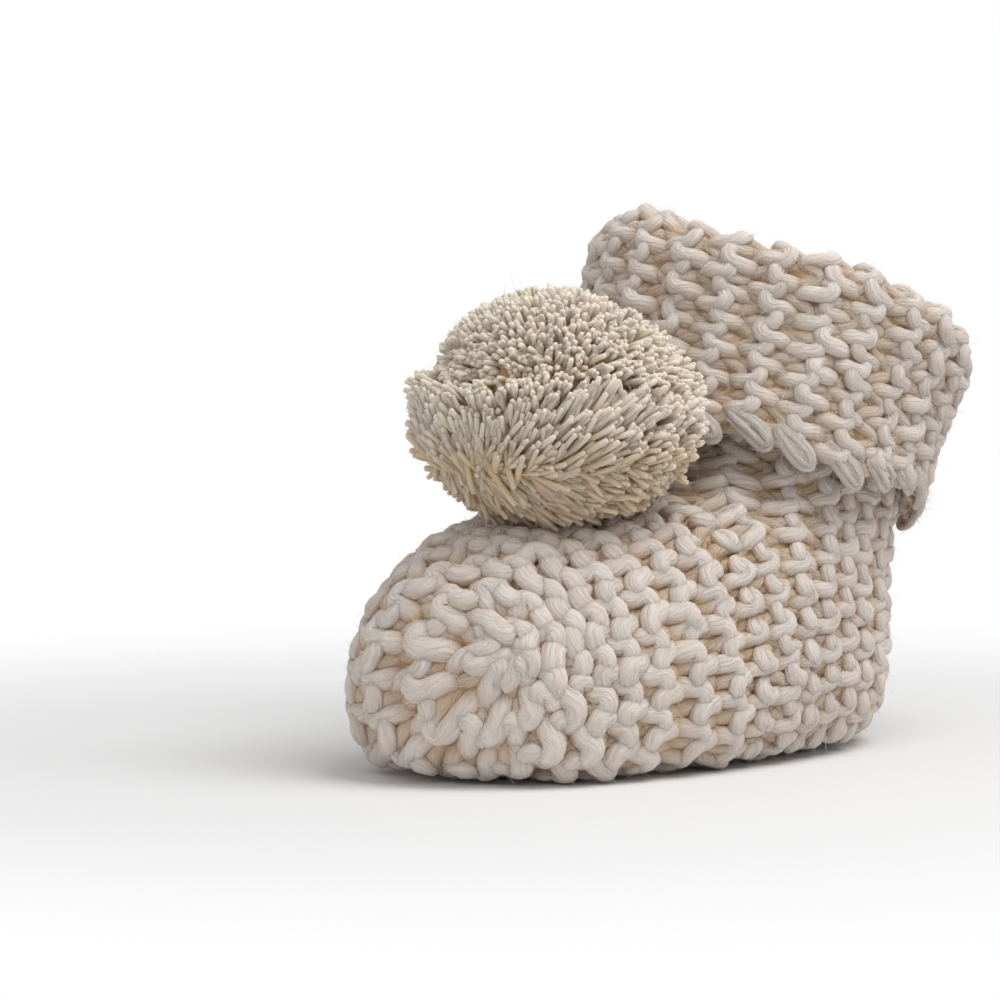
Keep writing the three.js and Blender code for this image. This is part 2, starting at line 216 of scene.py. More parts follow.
class Yarns:
    """Collects many yarn tubes and turns them into one object."""

    def __init__(self, sides=YARN_SIDES, shade=1.0):
        self.sides = sides
        # shade sets the strength of the painted shade on the low parts of the loops
        self.shade = shade               # how dark the low parts of the loops get
        self.parts = defaultdict(list)
        self.count = 0
        self.cells = 0

    def join(self, *keys):
        return np.concatenate([part for key in keys for part in self.parts[key]])

    def add(self, path, facing, radius, tint, start, per_cell, twist, ply=1, lobe=0.0, flat=1.0):
        """One capped tube. lobe is how deep its twisted plies cut in; at 0 it is round."""
        path = np.asarray(path, float)
        count, sides, parts = len(path), self.sides, self.parts
        tangent = unit(np.gradient(path, axis=0), 1e-12)
        side = unit(np.cross(tangent, facing), 1e-12)
        normal = np.cross(side, tangent)
        radius = np.broadcast_to(np.asarray(radius, float), (count,))
        reach = start + running_length(path)
        angle = np.arange(sides) / sides * 2 * np.pi
        ply_turn = angle[None, :] - (reach * 1000 * twist * 2 * np.pi)[:, None]
        ring_radius = radius[:, None] * (1 - lobe + lobe * np.abs(np.cos(ply * ply_turn / 2)) ** 0.7)
        # fibres bunch unevenly along the yarn, so it is never a clean tube
        window = 8
        drift = np.cumsum(LUMPS.normal(0, 1, (count + window, sides)), axis=0)
        drift = (drift[window:] - drift[:-window]) / math.sqrt(window)
        ring_radius = ring_radius * (1 + YARN_LUMPS * np.clip(drift, -2, 2))
        wide = np.cos(angle)[None, :] * flat * np.ones((count, 1))
        rings = path[:, None, :] + ring_radius[..., None] * (
            wide[..., None] * side[:, None, :]
            + np.sin(angle)[None, :, None] * normal[:, None, :])
        index = self.count + np.arange(count * sides).reshape(count, sides)
        parts["quads"].append(tube_quads(index))
        around = np.arange(sides) / sides
        parts["quad_uv"].append(grid_uv(reach[:-1] * 1000, reach[1:] * 1000,
                                        around, around + 1 / sides))
        # stretches of per_cell steps each get a cell of the bake map
        step = np.arange(count - 1)
        parts["quad_cell"].append(np.repeat(self.cells + step // per_cell, sides * 4))
        cell_u = (step % per_cell) / per_cell
        parts["quad_cell_uv"].append(grid_uv(cell_u, cell_u + 1.0 / per_cell,
                                             around, around + 1 / sides))
        # end caps, with a round cell each
        tips = np.stack([path[0] - tangent[0] * radius[0] * 0.5,
                         path[-1] + tangent[-1] * radius[-1] * 0.5])
        first_tip = self.count + count * sides
        first, last = index[0], index[-1]
        parts["tris"] += [
            np.stack([np.full(sides, first_tip), np.roll(first, -1), first], -1),
            np.stack([np.full(sides, first_tip + 1), last, np.roll(last, -1)], -1)]
        fan = np.stack([np.zeros(sides), around, around + 1 / sides], -1) * 2 * np.pi
        fan_radius = np.array([0.0, 0.45, 0.45])
        fan_uv = np.stack([0.5 + fan_radius * np.cos(fan), 0.5 + fan_radius * np.sin(fan)], -1)
        cap_cell = self.cells + (count - 2) // per_cell + 1
        for end in (0, 1):
            along = np.full(sides, reach[-end] * 1000)
            parts["tri_uv"].append(np.repeat(np.stack([along, around], -1), 3, axis=0))
            parts["tri_cell"].append(np.full(sides * 3, cap_cell + end))
            parts["tri_cell_uv"].append(fan_uv.reshape(-1, 2))
        self.cells = cap_cell + 2
        parts["verts"] += [rings.reshape(-1, 3), tips]
        tint = np.broadcast_to(np.asarray(tint, float), (count,))
        parts["tint"] += [np.repeat(tint, sides), np.array([tint[0], tint[-1]])]
        self.count += count * sides + 2

    def add_knit(self, path, facing, radius, tint, height, flat=YARN_FLAT):
        """A round yarn, with painted shade where height puts it near the fabric's mid surface."""
        self.add(path, facing, radius, tint, twist=0.028 + RNG.uniform(-0.008, 0.008),
                 start=RNG.uniform(0, 5.0), per_cell=LOOP_STEPS, flat=flat)
        angle = np.arange(self.sides) / self.sides * 2 * np.pi
        radius = np.broadcast_to(radius, (len(path),))
        level = height[:, None] + radius[:, None] * np.sin(angle)[None]
        recess_shade = 1 - np.abs(level) / LOOP_REACH * 1.25
        ends = [1 - abs(height[0]) / LOOP_REACH, 1 - abs(height[-1]) / LOOP_REACH]
        self.parts["depth"] += [np.clip(recess_shade * self.shade, 0, 1).ravel(), np.clip(ends, 0, 1)]

    def finish(self, name, material):
        # cells are about twice as long as they are wide: columns * 2 = rows
        columns = max(1, int(math.ceil(math.sqrt(self.cells / 2.0))))
        rows = int(math.ceil(self.cells / columns))
        margin = 0.06
        cell = self.join("quad_cell", "tri_cell")
        inner = margin + self.join("quad_cell_uv", "tri_cell_uv") * (1 - 2 * margin)
        bake_uv = np.stack([(cell % columns + inner[:, 0]) / columns,
                            (cell // columns + inner[:, 1]) / rows], -1)
        obj = mesh_from(name, self.join("verts"), self.join("quads"), self.join("tris"),
                        self.join("quad_uv", "tri_uv"), bake_uv,
                        {"tint": self.join("tint"), "depth": self.join("depth")})
        obj.data.materials.append(material)
        return obj


def add_piece(obj, body=None, replaces=()):
    """Without a body its transform is baked into the mesh and it is attached to no body."""
    if body:
        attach(obj, body)
    else:
        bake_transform(obj)
    if replaces:
        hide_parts(*replaces)
    return obj


# ------------------------------------------------------------------ materials
class Nodes:
    """Short ways to add nodes to a tree. Values may be sockets or constants."""

    def __init__(self, tree):
        self.tree = tree

    def feed(self, socket, value):
        if isinstance(value, bpy.types.NodeSocket):
            self.tree.links.new(value, socket)
        else:
            socket.default_value = value

    def add(self, kind, inputs=None, **settings):
        node = self.tree.nodes.new(kind)
        for key, value in settings.items():
            setattr(node, key, value)
        for key, value in (inputs or {}).items():
            self.feed(node.inputs[key], value)
        return node

    def calc(self, operation, first, second=None, clamp=False):
        inputs = {0: first} if second is None else {0: first, 1: second}
        return self.add("ShaderNodeMath", inputs, operation=operation, use_clamp=clamp).outputs[0]

    def mix(self, factor, under, over):
        under, over = [(*tone, 1) if isinstance(tone, tuple) else tone for tone in (under, over)]
        return self.add("ShaderNodeMix", {0: factor, 6: under, 7: over},
                        data_type="RGBA").outputs[2]

    def fade(self, value, start, end, low=0.0, high=1.0):
        return self.add("ShaderNodeMapRange", {0: value, 1: start, 2: end, 3: low, 4: high},
                        interpolation_type="SMOOTHSTEP").outputs[0]

    def noise(self, vector, scale, detail, **more):
        inputs = {"Vector": vector, "Scale": scale, "Detail": detail, **more}
        return self.add("ShaderNodeTexNoise", inputs).outputs[0]

    def bump(self, height, strength, distance):
        inputs = {"Strength": strength, "Distance": distance, "Height": height}
        return self.add("ShaderNodeBump", inputs).outputs[0]


def new_material(name):
    material = bpy.data.materials.new(name)
    material.use_nodes = True
    tree = material.node_tree
    return material, Nodes(tree), tree.nodes["Principled BSDF"]


# deep is the dark tone: dark fibre streaks, and the painted shade in the ply grooves and on the low
# parts of the yarn
def wool(name, light, mid, deep, twist, plies, bump=0.9, subsurface=0.28):
    """Twisted wool, drawn along the "Yarn" UVs: U in millimetres, V once round the yarn."""
    material, nodes, surface = new_material(name)
    calc, mix, fade = nodes.calc, nodes.mix, nodes.fade
    yarn_uv = nodes.add("ShaderNodeUVMap", uv_map="Yarn").outputs[0]
    split = nodes.add("ShaderNodeSeparateXYZ", {0: yarn_uv})
    along, around = split.outputs[0], split.outputs[1]
    sway = nodes.noise(yarn_uv, scale=0.45, detail=2.0)
    turn = calc("SUBTRACT", calc("ADD", around, calc("MULTIPLY", sway, 0.16)),
                calc("MULTIPLY", along, twist))
    # rounded plies with soft shallow grooves between them, which get a little painted shade as well as
    # bump
    rib = calc("COSINE", calc("MULTIPLY", turn, plies * math.pi))
    groove = calc("MULTIPLY", rib, rib)
    angle = calc("MULTIPLY", turn, 2 * math.pi)
    cosine = calc("COSINE", angle)
    sine = calc("SINE", angle)

    def fibres(round_scale, along_scale, **settings):
        """Noise drawn out along the twisted yarn, without a seam round it."""
        spot = nodes.add("ShaderNodeCombineXYZ", {0: calc("MULTIPLY", cosine, round_scale),
                                                  1: calc("MULTIPLY", sine, round_scale),
                                                  2: calc("MULTIPLY", along, along_scale)})
        return nodes.noise(spot.outputs[0], scale=1.0, **settings)

    coarse = fibres(round_scale=3.6, along_scale=0.30, detail=3.0, Roughness=0.65)
    fine = fibres(round_scale=10.0, along_scale=0.7, detail=2.0)
    place = nodes.add("ShaderNodeTexCoord").outputs["Object"]
    patches = nodes.noise(place, scale=120.0, detail=2.0)
    flecks = nodes.noise(place, scale=420.0, detail=2.0)
    tint = nodes.add("ShaderNodeAttribute", attribute_name="tint").outputs["Fac"]
    depth = nodes.add("ShaderNodeAttribute", attribute_name="depth").outputs["Fac"]

    colour = mix(fade(coarse, start=0.3, end=0.68), mid, light)
    yellow = (mid[0] * 1.02, mid[1] * 0.96, mid[2] * 0.8)
    # each layer: mask, strength, colour laid over the ones before
    for mask, strength, tone in (
            (fade(coarse, start=0.28, end=0.46, low=1.0, high=0.0), 0.20, deep),
            (fade(fine, start=0.54, end=0.72), 0.16, deep),
            (fade(patches, start=0.35, end=0.7), 0.35, mid),
            (fade(fine, start=0.28, end=0.46, low=1.0, high=0.0), 0.5, light),
            # the groove layer is painted shade between the plies
            (groove, 0.06, deep)):
        colour = mix(calc("MULTIPLY", mask, strength), colour, tone)
    # painted shade: the yarn turns to the deep tone where it lies low in the fabric
    recess_shade = calc("MULTIPLY", fade(depth, start=0.02, end=0.9), 0.76, clamp=True)
    colour = mix(recess_shade, colour, deep)
    colour = mix(calc("MULTIPLY", fade(flecks, start=0.62, end=0.78), 0.4), colour, yellow)
    brightness = calc("ADD", calc("MULTIPLY", tint, 0.16), 0.92)
    scaled = nodes.add("ShaderNodeVectorMath", {0: colour, 3: brightness}, operation="SCALE")
    relief = calc("SUBTRACT", calc("ADD", calc("MULTIPLY", coarse, 1.5),
                                   calc("MULTIPLY", fine, 0.9)),
                  calc("MULTIPLY", groove, 0.30))
    for key, value in {
            "Base Color": scaled.outputs[0],
            "Roughness": calc("ADD", calc("MULTIPLY", coarse, 0.15), 0.8),
            "Specular IOR Level": 0.12,
            "Sheen Weight": 0.0,
            "Sheen Roughness": 0.7,
            "Sheen Tint": (1.0, 0.96, 0.9, 1),
            "Subsurface Weight": subsurface,
            "Subsurface Radius": (1.0, 0.93, 0.86),
            "Subsurface Scale": 0.0018,
            "Normal": nodes.bump(relief, strength=bump, distance=0.0003)}.items():
        nodes.feed(surface.inputs[key], value)
    return material


def felt(name, first, second, scale=300.0, bump=0.4):
    """Matt fibre in two mottled tones."""
    material, nodes, surface = new_material(name)
    place = nodes.add("ShaderNodeTexCoord").outputs["Object"]
    mottle = nodes.noise(place, scale=scale, detail=4.0)
    for key, value in {
            "Base Color": nodes.mix(nodes.fade(mottle, start=0.35, end=0.65), first, second),
            "Roughness": nodes.calc("ADD", nodes.calc("MULTIPLY", mottle, 0.1), 0.88),
            "Specular IOR Level": 0.1,
            "Sheen Weight": 0.2,
            "Normal": nodes.bump(mottle, strength=bump, distance=0.0006)}.items():
        nodes.feed(surface.inputs[key], value)
    return material


CREAM = wool("knit_cream", light=(0.835, 0.775, 0.735), mid=(0.745, 0.64, 0.56),
             deep=(0.58, 0.375, 0.205), twist=0.028, plies=12.0)
SEAM = wool("seam_yarn", light=(0.76, 0.70, 0.63), mid=(0.66, 0.59, 0.51),
            deep=(0.34, 0.25, 0.16), twist=0.05, plies=9.0)
POMPOM = wool("pompom_yarn", light=(0.86, 0.785, 0.695), mid=(0.81, 0.685, 0.535),
              deep=(0.64, 0.43, 0.225), twist=0.12, plies=5.0, bump=0.36, subsurface=0.45)
# the two core materials are painted shade: brown tones for the shade seen between stitches and between
# strands
FABRIC_SHADE_CORE = felt("fabric_shade_core", (0.32, 0.205, 0.11), (0.46, 0.32, 0.19))
POMPOM_SHADE_CORE = felt("pompom_shade_core", (0.46, 0.31, 0.17), (0.60, 0.43, 0.27))
CREAM_FUZZ = felt("fuzz_cream", (0.84, 0.77, 0.69), (0.92, 0.86, 0.79), scale=500.0, bump=0.0)
POMPOM_FUZZ = felt("fuzz_pompom", (0.76, 0.67, 0.54), (0.86, 0.78, 0.66), scale=500.0, bump=0.0)


# ------------------------------------------------------------------ base surface of the fabric
def leg_centre_y(z):
    slope = LEG_AXIS[1] / LEG_AXIS[2]
    return LEG_BASE_MM[1] + slope * (np.asarray(z) - LEG_BASE_MM[2])


def leg_wall_y(z, side):
    """Y where the leg's wall crosses height z: side is -1 for the front, 1 for the back."""
    return leg_centre_y(z) + side * LEG_RADIUS_MM * (1 / LEG_AXIS[2])


# Level outlines of foot and leg by height, in mm. Each row: z, value.
FRONT_Y = [
    (INSET_MM, -38.4), (3, -41.6), (5, -44.0), (8, -45.2), (12, -45.5), (16, -45.1), (22, -43.2),
    (26, -40.6), (29, -36.6), (30.8, -32.0), (32.0, -26), (33.0, -18.5), (34.4, -9.5),
    (36.2, -3.6), (39, 1.6), (42, leg_wall_y(42, -1)), (90, leg_wall_y(90, -1))]
BACK_Y = [
    (INSET_MM, 37.4), (3, 40.2), (5, 42.0), (8, 42.9), (12, 43.1), (16, 43.0), (22, 42.9),
    (27, leg_wall_y(27, 1)), (30, leg_wall_y(30, 1)), (90, leg_wall_y(90, 1))]
WIDEST_Y = [
    (INSET_MM, 0), (10, 1), (16, 3), (22, 8), (27, 14), (30, 18), (32, 21),
    (34, leg_centre_y(34)), (36, leg_centre_y(36)), (90, leg_centre_y(90))]
HALF_WIDTH = [
    (INSET_MM, 20.0), (3, 22.4), (5, 23.9), (8, 24.7), (12, 24.9), (16, 24.7), (22, 23.8),
    (27, 22.7), (30, 21.9), (33, 21.2), (36, LEG_RADIUS_MM), (90, LEG_RADIUS_MM)]
SQUARENESS = [               # superellipse exponent: 2 is an ellipse
    (INSET_MM, 2.4), (16, 2.4), (22, 2.35), (27, 2.25), (30, 2.15), (34, 2.0), (90, 2.0)]


def base_surface():
    """Search tree over the fabric's mid surface, closed at the sole and open at the top."""
    heights = np.concatenate([np.linspace(INSET_MM, 6, 14), np.linspace(6.5, 30, 34),
                              np.linspace(30.4, 42, 34), np.linspace(43, 86, 14)])
    front, back, widest, half_width, squareness = [
        pchip(*zip(*table), heights)
        for table in (FRONT_Y, BACK_Y, WIDEST_Y, HALF_WIDTH, SQUARENESS)]
    around = 120
    angle = np.arange(around) / around * 2 * np.pi
    cosine, sine = np.cos(angle), np.sin(angle)
    verts = []
    for k, height in enumerate(heights):
        power = 2 / squareness[k]
        x = half_width[k] * np.sign(cosine) * np.abs(cosine) ** power
        lengthwise = np.sign(sine) * np.abs(sine) ** power
        y = widest[k] + np.where(sine > 0, lengthwise * (back[k] - widest[k]),
                                 lengthwise * (widest[k] - front[k]))
        verts.append(np.stack([x, y, np.full(around, height)], -1))
    verts = np.concatenate(verts) * MM
    polys = []
    for k in range(len(heights) - 1):
        for i in range(around):
            j = (i + 1) % around
            polys.append((k * around + i, k * around + j,
                          (k + 1) * around + j, (k + 1) * around + i))
    centre = len(verts)
    verts = np.vstack([verts, [[0, 0, INSET_MM * MM]]])
    for i in range(around):
        polys.append((centre, (i + 1) % around, i))
    return BVHTree.FromPolygons([tuple(vert) for vert in verts], polys)


BASE = base_surface()


def hit(origin, direction):
    """Where a ray meets the base surface, or the nearest place if it misses."""
    place = BASE.ray_cast(Vector(origin), Vector(direction))[0]
    if place is None:
        place = BASE.find_nearest(Vector(origin))[0]
    return np.array(place)


# ------------------------------------------------------------------ sheets the yarn is laid on
class Patch:
    """A sheet points[u, f]: u counts ridges, f runs 0 to 1 along a ridge."""

    def __init__(self, points, first, step, lengths, normals):
        self.points, self.first, self.step, self.normals = points, first, step, normals
        self.lengths = np.asarray(lengths, float)
        across = np.gradient(points, axis=0)
        along = np.gradient(points, axis=1)
        lean = (across * along).sum(-1)
        along_square = (along * along).sum(-1)
        # how far f moves for a step of one ridge that is square to the ridge
        shear = -lean / step / (along_square * (points.shape[1] - 1) + 1e-15)
        self.shear = np.clip(shear, -0.35, 0.35)[..., None]
        # width of a ridge, measured square to it
        square = (across * across).sum(-1) - lean ** 2 / (along_square + 1e-15)
        self.widths = (np.sqrt(np.maximum(square, 0)) / step)[..., None]

    def sample(self, grid, u, f):
        count_u, count_f = grid.shape[:2]
        x = np.clip((u - self.first) / self.step, 0, count_u - 1.001)
        y = np.minimum(np.clip(f, 0, 1) * (count_f - 1), count_f - 1.001)
        i, j = x.astype(int), y.astype(int)
        part_x, part_y = (x - i)[:, None], (y - j)[:, None]
        return (grid[i, j] * (1 - part_x) * (1 - part_y) + grid[i + 1, j] * part_x * (1 - part_y)
                + grid[i, j + 1] * (1 - part_x) * part_y + grid[i + 1, j + 1] * part_x * part_y)

    def on_ridge(self, grid, u, f):
        return self.sample(grid, np.full(len(f), float(u)), f)[:, 0]

    def at(self, u, f, height):
        """Points a height above the sheet, and the sheet's normals there."""
        normal = unit(self.sample(self.normals, u, f), 1e-15)
        return self.sample(self.points, u, f) + normal * height[:, None], normal

    def length_at(self, u):
        x = np.clip((u - self.first) / self.step, 0, len(self.lengths) - 1)
        return float(np.interp(x, np.arange(len(self.lengths)), self.lengths))


def sheet_normals(points, tiny=0.0):
    return unit(np.cross(np.gradient(points, axis=0), np.gradient(points, axis=1)), tiny)


def outward_normals(points, inside):
    """Smoothed normals that point away from the points inside."""
    normals = sheet_normals(points, 1e-15)
    flip = np.sign((normals * (points - inside)).sum(-1))
    flip[flip == 0] = 1
    normals = normals * flip[..., None]
    for _ in range(2):
        soften(normals)
    return unit(normals, 1e-15)


# ------------------------------------------------------------------ foot: rings closing on the toe
TOE_CENTRE = np.array([0.0, -19.0, 16.0]) * MM
TOE_TURN = math.radians(33.0)        # the toe gather is turned towards +X
TOE_LIFT = math.radians(6)
LAST_RING_TILT = math.radians(9)
TOE_SHARE = 0.68                     # part of the rings that fans out from the toe centre


def ring_points(progress, count):
    """Ring and its centre. Progress 0 is the toe gather; 1 passes in front of the leg."""
    if progress < TOE_SHARE:
        share = progress / TOE_SHARE
        spread = share * math.pi / 2
        origin, tilt = TOE_CENTRE, 0.0
        turn = TOE_TURN * (1 - share) ** 1.2
        lift = TOE_LIFT * (1 - share)
    else:
        share = (progress - TOE_SHARE) / (1 - TOE_SHARE)
        spread = math.pi / 2
        origin = TOE_CENTRE + np.array([0, 14.0 * share, 2.0 * share]) * MM
        tilt = LAST_RING_TILT * share
        turn = lift = 0.0
    forward, outward = math.cos(spread), math.sin(spread)
    points = []
    for angle in np.linspace(0, 2 * np.pi, count + 1):
        drop = -math.cos(angle)
        spoke = np.array([math.sin(angle), -drop * math.sin(tilt), drop * math.cos(tilt)])
        x, y, z = np.array([0, -forward, forward * math.sin(lift)]) + outward * spoke
        direction = np.array([x * math.cos(turn) - y * math.sin(turn),
                              x * math.sin(turn) + y * math.cos(turn), z])
        points.append(hit(origin, unit(direction)))
    return np.array(points), origin


def build_foot_patch():
    first_progress, around = 0.012, 180
    progress = np.linspace(first_progress, 1, 90)
    rings = [ring_points(value, 72)[0] for value in progress]
    steps = [np.linalg.norm(after - before, axis=1).mean()
             for before, after in zip(rings, rings[1:])]
    reach = np.concatenate([[0.0008], 0.0008 + np.cumsum(steps)])
    ring_count = int(round(reach[-1] / RING_PITCH))
    rows = ring_count * 6 + 1
    ridges = np.linspace(0, ring_count, rows)
    points, inside, lengths = [], [], []
    for value in np.interp(ridges / ring_count * reach[-1], reach, progress):
        ring, origin = ring_points(max(value, first_progress), around)
        ring, length = resample(ring, around + 1)
        points.append(ring)
        inside.append([origin])
        lengths.append(length)
    points, inside = np.array(points), np.array(inside)
    # soft puckers, strongest where the toe is drawn together
    outward = unit(points - inside)
    for i in range(rows):
        near = math.exp(-(ridges[i] / 3.6) ** 2) * min(1.0, ridges[i] / 0.8)
        amount = (1.5 * near + 0.35) * MM
        for j in range(around):
            pucker = noise.noise(Vector(points[i, j] * 95.0)) - 0.25 * near
            points[i, j] += outward[i, j] * amount * pucker
        points[i, around] = points[i, 0]
    patch = Patch(points, 0.0, ring_count / (rows - 1), lengths, outward_normals(points, inside))
    return patch, ring_count


# ------------------------------------------------------------------ leg and heel: rows up to the fold
LEG_TOP_MM = 43.2
SIDE_RIDGES = 11                     # on each side of the leg
# Angles round from the front, in degrees, for the tables of nine values in leg_row.
ROW_ANGLES = [-12, 0, 30, 60, 90, 120, 150, 180, 192]


def leg_row(psi, side, count=150):
    """One row from the sole's centre line to the leg's top, and the points it is cast from.

    psi is in degrees round from the front; side is 1 for +X and -1 for -X.
    """
    psi = np.clip(psi, -12, 192)
    angle = math.radians(psi)
    sole_y = np.interp(psi, [-12, 0, 90, 180, 192], [-1.0, 1.2, 19.5, 38.6, 41.0])
    low_y = np.interp(psi, [-12, 0, 30, 60, 90, 180, 192], [-2.5, -0.5, 6.0, 12.5, 19.0, 30.0, 30.0])
    low_aim = math.radians(np.interp(psi, ROW_ANGLES, [76, 80, 84, 88, 97, 116, 146, 180, 192]))
    high_aim = math.radians(np.interp(psi, ROW_ANGLES, [60, 66, 68, 78, 94, 120, 150, 180, 192]))
    rise = math.radians(np.interp(psi, [-12, 0, 30, 60, 90, 192], [44, 40, 26, 10, 0, 0]))
    front = float(np.clip(1 - psi / 60.0, 0, 1))
    before_side = psi < 90
    down = -UP

    def aim(heading, lift):
        return np.array([math.sin(heading) * math.cos(lift),
                         -math.cos(heading) * math.cos(lift), math.sin(lift)])

    ankle_origin = ((LEG_BASE_MM + LEG_AXIS * 13.0) * (1 - front)
                    + np.array([0, 1.0, 22.0]) * front)
    ankle_aim = (across_leg((high_aim + angle) / 2 if before_side else angle) * (1 - front)
                 + aim(math.radians(36 + psi * 0.6), math.radians(48)) * front)
    top_drop = float(np.interp(side * psi, [-180, -130, -100, -70, -50, 0, 20, 60, 100, 130, 180],
                               [-5.6, -4.2, -2.4, -0.6, 0.0, -1.0, -2.6, -3.4, -4.8, -5.6, -5.6]))
    # each row: share of the way up, ray origin in mm, ray direction
    keys = [
        (0.00, np.array([0, sole_y, 14.0]), down),
        (0.16, np.array([0, (sole_y + low_y) / 2, 14.0]), down * 0.72 + aim(low_aim, 0.0) * 0.70),
        (0.32, np.array([0, low_y, 15.0]), aim(low_aim, -0.06)),
        (0.48, np.array([0, low_y * 0.7 + LEG_BASE_MM[1] * 0.3 - 6.0 * front, 19.0]),
         aim((low_aim + high_aim) / 2 if before_side else high_aim, rise)),
        (0.63, ankle_origin, ankle_aim),
        (0.745, LEG_BASE_MM + LEG_AXIS * 20.5, across_leg(angle)),
        (1.00, LEG_BASE_MM + LEG_AXIS * (LEG_TOP_MM + top_drop), across_leg(angle))]
    shares = [key[0] for key in keys]
    origins = np.array([key[1] for key in keys])
    aims = np.array([unit(key[2]) for key in keys])
    wanted = np.linspace(0, 1, count)
    origins = np.stack([pchip(shares, origins[:, k], wanted) for k in range(3)], -1) * MM
    aims = unit(np.stack([pchip(shares, aims[:, k], wanted) for k in range(3)], -1))
    points = np.array([hit(origins[i], aims[i]) for i in range(count)])
    if side < 0:
        mirror = np.array([-1, 1, 1])
        points, origins = points * mirror, origins * mirror
    # light smoothing keeps the line fair where the rays leave the foot for the leg
    for _ in range(6):
        soften(points)
    return points, origins


def build_leg_patch(side):
    ridges = np.linspace(-0.4, 11.6, 121)
    # ridges are spaced wider at the front
    angles = np.where(ridges < 2.0, ridges * 22.5, 45 + (ridges - 2.0) * 15.0)
    points, inside, lengths = [], [], []
    for psi in angles:
        row, origins = leg_row(float(psi), side)
        row, length = resample(row, 150)
        points.append(row)
        inside.append(origins)
        lengths.append(length)
    points = np.array(points)
    for _ in range(3):
        soften(points)
    return Patch(points, ridges[0], ridges[1] - ridges[0], lengths,
                 outward_normals(points, np.array(inside)))


# ------------------------------------------------------------------ cuff: over the fold, down to the hem
CUFF_RIDGES = 24
CUFF_STEP = 2 * math.pi / CUFF_RIDGES
# Inside the leg's top, over the fold and down to the hem, in mm.
# Each row: radius from the leg line, height along it.
CUFF_PROFILE = np.array([
    (20.9, 42.6), (21.0, 44.2), (21.6, 45.9), (22.9, 47.0), (24.4, 47.2), (25.8, 46.3),
    (26.6, 44.4), (26.9, 41.0), (26.8, 36.0), (26.7, 31.0), (26.7, 26.0), (26.8, 22.0),
    (26.9, 18.6)])


def fold_drop(degrees):
    """How far the fold sits from its highest place, in mm, round the opening."""
    return float(np.interp(
        degrees, [-180, -130, -100, -70, -50, -20, 0, 20, 60, 100, 130, 180],
        [-5.6, -4.2, -2.4, -0.6, 0.5, 0.6, -1.0, -2.6, -3.4, -4.8, -5.6, -5.6]))


def ring_noise(psi, size, level):
    return noise.noise(Vector((math.cos(psi) * size, math.sin(psi) * size, level)))


def build_cuff_patch():
    count = 80
    share = np.linspace(0, 1, count)
    stations = np.linspace(0, 1, len(CUFF_PROFILE))
    rows = CUFF_RIDGES * 6 + 13
    points, lengths = [], []
    for ridge in -1 + np.arange(rows) / 6.0:
        psi = ridge * CUFF_STEP
        degrees = (math.degrees(psi) + 180) % 360 - 180
        radius = pchip(stations, CUFF_PROFILE[:, 0], share)
        height = pchip(stations, CUFF_PROFILE[:, 1], share)
        # uneven, soft fold
        lump, small_lump = ring_noise(psi, 2.3, 4.1), ring_noise(psi, 4.7, 9.3)
        fold = np.exp(-((share - 0.3) / 0.16) ** 2)
        height = height + fold * (lump * 1.0 + small_lump * 0.8)
        height = height + fold_drop(degrees) * np.interp(
            share, [0, 0.32, 0.6, 0.85], [1.0, 1.0, 0.35, 0.0])
        # the hem hangs lower towards +X of the front
        height = height - np.clip((share - 0.75) / 0.25, 0, 1) * 1.7 * math.exp(
            -((degrees - 55) / 45) ** 2)
        # slightly wavy wall, drawn in at the back
        wall = np.clip((share - 0.3) / 0.3, 0, 1)
        wave = np.array([ring_noise(psi, 2.0, 20 + value * 3) for value in share])
        towards_back = (1 - math.cos(psi)) / 2
        radius = radius + wall * wave * 1.0 - np.clip((share - 0.55) / 0.45, 0, 1) * 2.2 * towards_back
        height = height - np.clip((share - 0.7) / 0.3, 0, 1) * small_lump * 1.2
        row = LEG_BASE + (height[:, None] * LEG_AXIS + radius[:, None] * across_leg(psi)) * MM
        row, length = resample(row, count)
        points.append(row)
        lengths.append(length)
    points = np.array(points)
    # the face that shows keeps one sign all the way over the fold
    normals = sheet_normals(points)
    middle, on_wall = rows // 2, 60
    middle_psi = (-1.0 + middle / 6.0) * CUFF_STEP
    if (normals[middle, on_wall] * across_leg(middle_psi)).sum() < 0:
        normals = -normals
    return Patch(points, -1.0, 1 / 6.0, lengths, normals)


# ------------------------------------------------------------------ garter stitch
def smooth_noise(key_count, turn, size):
    keys = RNG.normal(0, size, key_count)
    return np.interp(turn, np.linspace(turn[0], turn[-1], key_count), keys)


